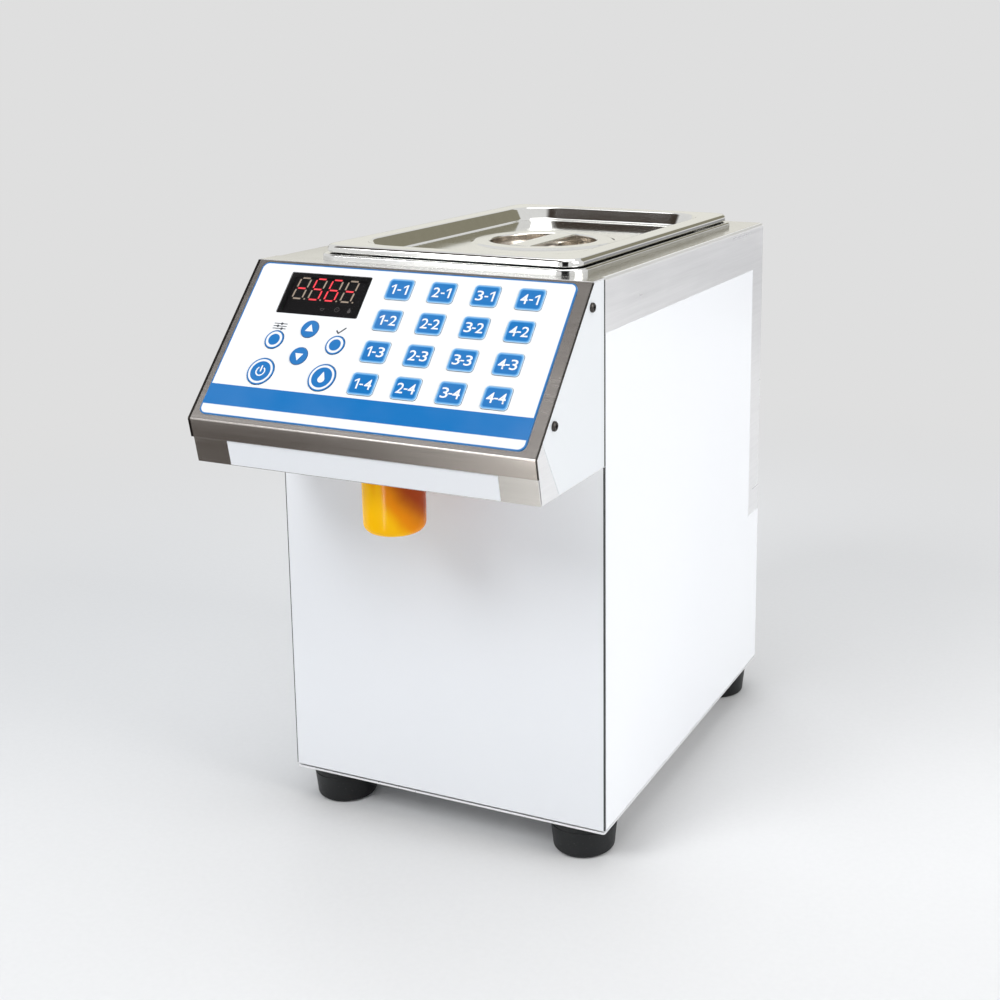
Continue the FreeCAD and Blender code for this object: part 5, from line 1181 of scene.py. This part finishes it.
# %% Caption marks
OVERLAY_TOP = 2.02
MARKS_UP = -51.6


def sliders():
    parts = []
    for step, knob in ((-1.9, 1.9), (0, -1.7), (1.9, 0.9)):
        parts += [shift(bar(10.4, 0.62), y=step), shift(disc(0.95, 20), knob, step, 0.01)]
    return merged(parts)


def tick():
    return merged([shift(swing(bar(length, 1.05), radians(turn)), x, y)
                   for length, turn, x, y in ((3.1, -45, -2.3, -0.6), (6.6, 45, 0.95, 0.6))])


for name, shape, x in (("setting_mark", sliders(), LEFT_KEYS), ("save_mark", tick(), RIGHT_KEYS)):
    lay_on_panel(shape, x, MARKS_UP, OVERLAY_TOP)
    finish_piece(name, flat_mesh(shape, name), "cabinet", dark_ink)
print("marks", 2)

# %% [markdown]
# ## The display
# Behind the smoked window sits a black module with four figures of seven bars. The window is a thin
# slab with round corners, and a black mask printed on its back hides the edge of the hole. The bars
# that are lit glow. The others are a dull beige with a weak painted glow, for the light that unlit bars
# catch, and so are the faint signs.

# %% Window and mask
WINDOW_MIDDLE = (-63.0, -24.95)
WINDOW_SIZE = (64.0, 32.5)
BARS_LIFT = -0.26


def slab(width, height, low, high, corner, edge):
    """A thin block with round corners and softened top edges, flat at the origin, in millimetres."""
    bm = bmesh.new()
    bmesh.ops.create_cube(bm, size=1)
    bmesh.ops.scale(bm, verts=bm.verts, vec=(width * MM, height * MM, (high - low) * MM))
    bmesh.ops.translate(bm, verts=bm.verts, vec=(0, 0, (high + low) / 2 * MM))
    upright = [side for side in bm.edges if abs(side.verts[0].co.z - side.verts[1].co.z) > 1e-6]
    round_off(bm, upright, corner, 5)
    top = [side for side in bm.edges if all(vert.co.z > (high - 0.01) * MM for vert in side.verts)]
    round_off(bm, top, edge, 3)
    return bm


window = lay_on_panel(slab(*WINDOW_SIZE, 1.32, 2.1, 1.2, 0.15), *WINDOW_MIDDLE, 0)
piece = finish_piece("display_window_smoked", mesh_from(window, "display_window_smoked"), "cabinet",
                     finish["display_lens"], ("display_window",))
piece.data.set_sharp_from_angle(angle=radians(30))

MASK_GAP, MASK_WIDE = 0.1, 2.6
mask = disc(1, 4)
for vert, signs in zip(mask.verts, ((1, 1), (-1, 1), (-1, -1), (1, -1))):
    vert.co = Vector([sign * (size / 2 - MASK_GAP) * MM for sign, size in zip(signs, WINDOW_SIZE)] + [0])
bmesh.ops.inset_region(mask, faces=mask.faces[:], thickness=MASK_WIDE * MM, use_even_offset=True,
                       use_boundary=True)
inner_reach = (WINDOW_SIZE[0] / 2 - 1) * MM
inner = [face for face in mask.faces if all(abs(vert.co.x) < inner_reach for vert in face.verts)]
bmesh.ops.delete(mask, geom=inner, context="FACES")
lay_on_panel(mask, *WINDOW_MIDDLE, 1.24)
finish_piece("display_mask", flat_mesh(mask, "display_mask"), "cabinet",
             finish["display_black"])

# %% Figures made of seven bars
BAR_PLACES = {"top": (0, 1, 0), "high_left": (-1, 0.5, 90), "high_right": (1, 0.5, 90), "middle": (0, 0, 0),
              "low_left": (-1, -0.5, 90), "low_right": (1, -0.5, 90), "bottom": (0, -1, 0)}
BARS_OF = {"-": ("middle",), "5": ("top", "high_left", "middle", "low_right", "bottom"),
           "6": ("high_left", "middle", "low_left", "low_right", "bottom", "top")}
FIGURE_WIDTH, FIGURE_HEIGHT, FIGURE_LEAN, BAR_WIDTH = 8.0, 16.4, 0.09, 1.15
FIGURES_LEFT, FIGURE_STEP, FIGURES_UP = -21.36, 12.8, 5.2
SHOWN = "-56-"
lit, unlit = [], []
for place, figure in enumerate(SHOWN):
    middle_x = FIGURES_LEFT + FIGURE_STEP * place
    for label, (across, up, turn) in BAR_PLACES.items():
        length = FIGURE_WIDTH if turn == 0 else FIGURE_HEIGHT / 2
        strip = swing(bar(length - 0.9, BAR_WIDTH, BAR_WIDTH / 2), radians(turn))
        shift(strip, across * FIGURE_WIDTH / 2, up * FIGURE_HEIGHT / 2)
        for vert in strip.verts:
            vert.co.x += vert.co.y * FIGURE_LEAN
        (lit if label in BARS_OF[figure] else unlit).append(shift(strip, middle_x, FIGURES_UP))
    unlit.append(shift(disc(0.6, 20), middle_x + 5.4, -3.0))
for name, parts, material in (("display_bars_lit", lit, bar_on), ("display_bars_unlit", unlit, unlit_bar_painted_glow)):
    bm = lay_on_panel(merged(parts), *WINDOW_MIDDLE, BARS_LIFT)
    finish_piece(name, flat_mesh(bm, name), "cabinet", material)
print("bars lit", len(lit), "unlit", len(unlit))

# %% Faint signs under the figures
cup_sign = merged([bar(3.0, 0.4), hoop(1.5, 0.35, 180, 180, 16)])
clock_sign = merged([hoop(1.7, 0.35), bar(1.4, 0.35)])
drop_sign = drop_shape()
bmesh.ops.scale(drop_sign, verts=drop_sign.verts, vec=(0.5, 0.5, 1))
signs = [shift(sign, (share - 0.5) * WINDOW_SIZE[0], -9.4)
         for share, sign in ((0.52, cup_sign), (0.70, clock_sign), (0.85, drop_sign))]
bm = lay_on_panel(merged(signs), *WINDOW_MIDDLE, BARS_LIFT)
finish_piece("display_signs", flat_mesh(bm, "display_signs"), "cabinet", sign_painted_glow)
print("display done, pieces", len(made))

# %% [markdown]
# ## Floor, world and lamps
# The background is a plain pale grey. The world shows that grey to the camera and in reflections, and
# gives a softer level of light to everything else. The floor takes the object's soft shadow near its
# feet and fades to the same grey further out, so no horizon shows.

# %% Pale world
PALE = (0.738, 0.738, 0.738, 1.0)


def seen_rays(tree):
    """1 for rays from the camera, in reflections and through glass, and 0 for soft light."""
    rays = add(tree, "ShaderNodeLightPath").outputs
    through = calc(tree, "MAXIMUM", rays["Is Glossy Ray"], rays["Is Transmission Ray"])
    return calc(tree, "MAXIMUM", rays["Is Camera Ray"], through)


def show_mix(tree, mask, first, second, output="ShaderNodeOutputMaterial"):
    """Mix two shaders by a mask and send the result to the output."""
    both = add(tree, "ShaderNodeMixShader", {0: mask, 1: first.outputs[0], 2: second.outputs[0]})
    add(tree, output, {"Surface": both.outputs[0]})


world = bpy.data.worlds.new("pale_studio")
scene.world = world
tree = empty_tree(world)
shown = add(tree, "ShaderNodeBackground", {"Color": PALE, "Strength": 1.0})
light = add(tree, "ShaderNodeBackground", {"Color": (0.93, 0.96, 1.0, 1.0), "Strength": 0.46})
show_mix(tree, seen_rays(tree), light, shown, "ShaderNodeOutputWorld")
print("world", world.name)

# %% Floor
bm = bmesh.new()
bmesh.ops.create_circle(bm, cap_ends=True, segments=96, radius=14)
bmesh.ops.translate(bm, verts=bm.verts, vec=(0, 0, -0.0004))
floor_mesh = mesh_from(bm, "pale_floor")
floor = put_in_scene("pale_floor", floor_mesh)
material = bpy.data.materials.new("pale_floor")
tree = empty_tree(material)
place = add(tree, "ShaderNodeTexCoord").outputs["Object"]
reach = add(tree, "ShaderNodeVectorMath", {0: place}, operation="LENGTH").outputs["Value"]
far = spread(tree, reach, 0.45, 1.3, 0, 1, True)
FLOOR_PALE = 0.735
skin = even(tree, noise(tree, place, 240, 2, 0.5), FLOOR_PALE - 0.006, FLOOR_PALE + 0.006)
grey = add(tree, "ShaderNodeCombineColor", {0: skin, 1: skin, 2: skin}).outputs[0]
matt = add(tree, "ShaderNodeBsdfDiffuse", {"Color": grey})
plain = add(tree, "ShaderNodeEmission", {"Color": PALE, "Strength": 1.0})
show_mix(tree, times(tree, far, seen_rays(tree)), matt, plain)
floor_mesh.materials.append(material)
print("floor", floor.name)

# %% Soft lamps
def soft_lamp(name, place, aim, size, power, colour=(1, 1, 1)):
    lamp = bpy.data.lights.new(name, "AREA")
    lamp.shape = "RECTANGLE"
    lamp.size, lamp.size_y = size
    lamp.energy = power
    lamp.color = colour
    carrier = put_in_scene(name, lamp)
    facing = (Vector(aim) - Vector(place)).to_track_quat("-Z", "Y").to_matrix().to_4x4()
    carrier.matrix_world = Matrix.Translation(place) @ facing
    return carrier


soft_lamp("right_lamp", (2.1, -0.2, 1.2), (0, 0, 0.22), (1.2, 1.6), 29, (1.0, 0.99, 0.975))
soft_lamp("front_lamp", (-0.75, -1.6, 1.75), (0, 0, 0.2), (0.9, 0.9), 22, (0.97, 0.985, 1.0))
soft_lamp("top_lamp", (0.1, 0.1, 2.3), (0, 0, 0.2), (1.6, 1.6), 15)
rear = soft_lamp("rear_lamp", (-1.6, 1.8, 1.3), (0, 0, 0.25), (1.2, 1.2), 9, (0.96, 0.98, 1.0))
rear.visible_glossy = False
print("lamps", 4)

# %% [markdown]
# ## Cards
# Polished steel only looks like steel when something dark is reflected in it beside the pale studio.
# Cards stand where a photographer would hang cloth or paper: a dark one high at the front for the panel
# and the display, one low for the lip, and others for the lid's walls and rim. Each fades out at its
# edges, and one fades from dark to pale along its length. They show in reflections alone and cast no
# shadow.

# %% Cards that only reflections see
def card(name, place, aim, width, height, tone, soft=0.08, far_tone=None, turning=(0.25, 0.6)):
    """A card that fades out over soft metres at its edges, and may turn to a far tone across its width."""
    bm = bmesh.new()
    bmesh.ops.create_grid(bm, x_segments=1, y_segments=1, size=0.5)
    across = bm.loops.layers.uv.new("across")
    for face in bm.faces:
        for corner in face.loops:
            corner[across].uv = (corner.vert.co.x + 0.5, corner.vert.co.y + 0.5)
    bmesh.ops.scale(bm, verts=bm.verts, vec=(width, height, 1))
    facing = (Vector(aim) - Vector(place)).to_track_quat("Z", "Y").to_matrix().to_4x4()
    bmesh.ops.transform(bm, matrix=Matrix.Translation(place) @ facing, verts=bm.verts)
    sheet = put_in_scene(name, mesh_from(bm, name, False))
    cloth = bpy.data.materials.new(name)
    tree = empty_tree(cloth)
    spot = add(tree, "ShaderNodeSeparateXYZ",
               {"Vector": add(tree, "ShaderNodeTexCoord").outputs["UV"]}).outputs
    edges = [calc(tree, "SUBTRACT", 0.5, calc(tree, "ABSOLUTE", calc(tree, "SUBTRACT", spot[axis], 0.5)))
             for axis in (0, 1)]
    inside = [spread(tree, edge, 0, soft / size, 0, 1, True) for edge, size in zip(edges, (width, height))]
    shade = blend(tree, spread(tree, spot[0], *turning, 0, 1, True), tone, far_tone or tone)
    glow = add(tree, "ShaderNodeEmission", {"Color": shade, "Strength": 1.0})
    show_mix(tree, times(tree, *inside), add(tree, "ShaderNodeBsdfTransparent"), glow)
    sheet.data.materials.append(cloth)
    for kind in ("camera", "diffuse", "transmission", "shadow"):
        setattr(sheet, "visible_" + kind, False)
    return sheet


CARDS = {"card_high_dark": ((-0.60, -0.89, 1.78), (0, -0.15, 0.38), 2.3, 1.45, (0.05, 0.04, 0.033), 0.4),
         "card_low_dark": ((-0.27, -0.55, 0.012), (-0.27, -0.55, 1), 1.0, 0.46, (0.75, 0.73, 0.70), 0.06,
                           (0.08, 0.066, 0.056), (0.22, 0.56)),
         "card_front_bright": ((-0.55, -1.45, 0.25), (0, -0.2, 0.3), 0.5, 0.9, (1.7, 1.7, 1.7)),
         "card_cap_bright": ((-0.05, -0.75, 0.12), (0, -0.175, 0.265), 0.08, 0.2, (26, 26, 25), 0.02),
         "card_camera_dark": ((0.70, -1.45, 0.80), (0, 0, 0.4), 1.1, 2.1, (0.01, 0.01, 0.01), 0.15),
         "card_left_low": ((-1.1, 1.7, 0.3), (0, 0, 0.42), 1.6, 0.5, (0.10, 0.085, 0.07), 0.05),
         "card_rear_low": ((0.75, 1.75, 0.17), (0, 0, 0.42), 0.9, 0.45, (0.3, 0.3, 0.31), 0.15),
         "card_rear_olive": ((0.60, 1.57, 1.07), (0, 0, 0.42), 1.4, 1.1, (0.25, 0.235, 0.175), 0.12),
         "card_rear_beige": ((-0.96, 2.25, 0.95), (0, 0, 0.42), 2.4, 1.1, (0.80, 0.79, 0.73))}
for name, values in CARDS.items():
    card(name, *values)
print("cards", len(CARDS))
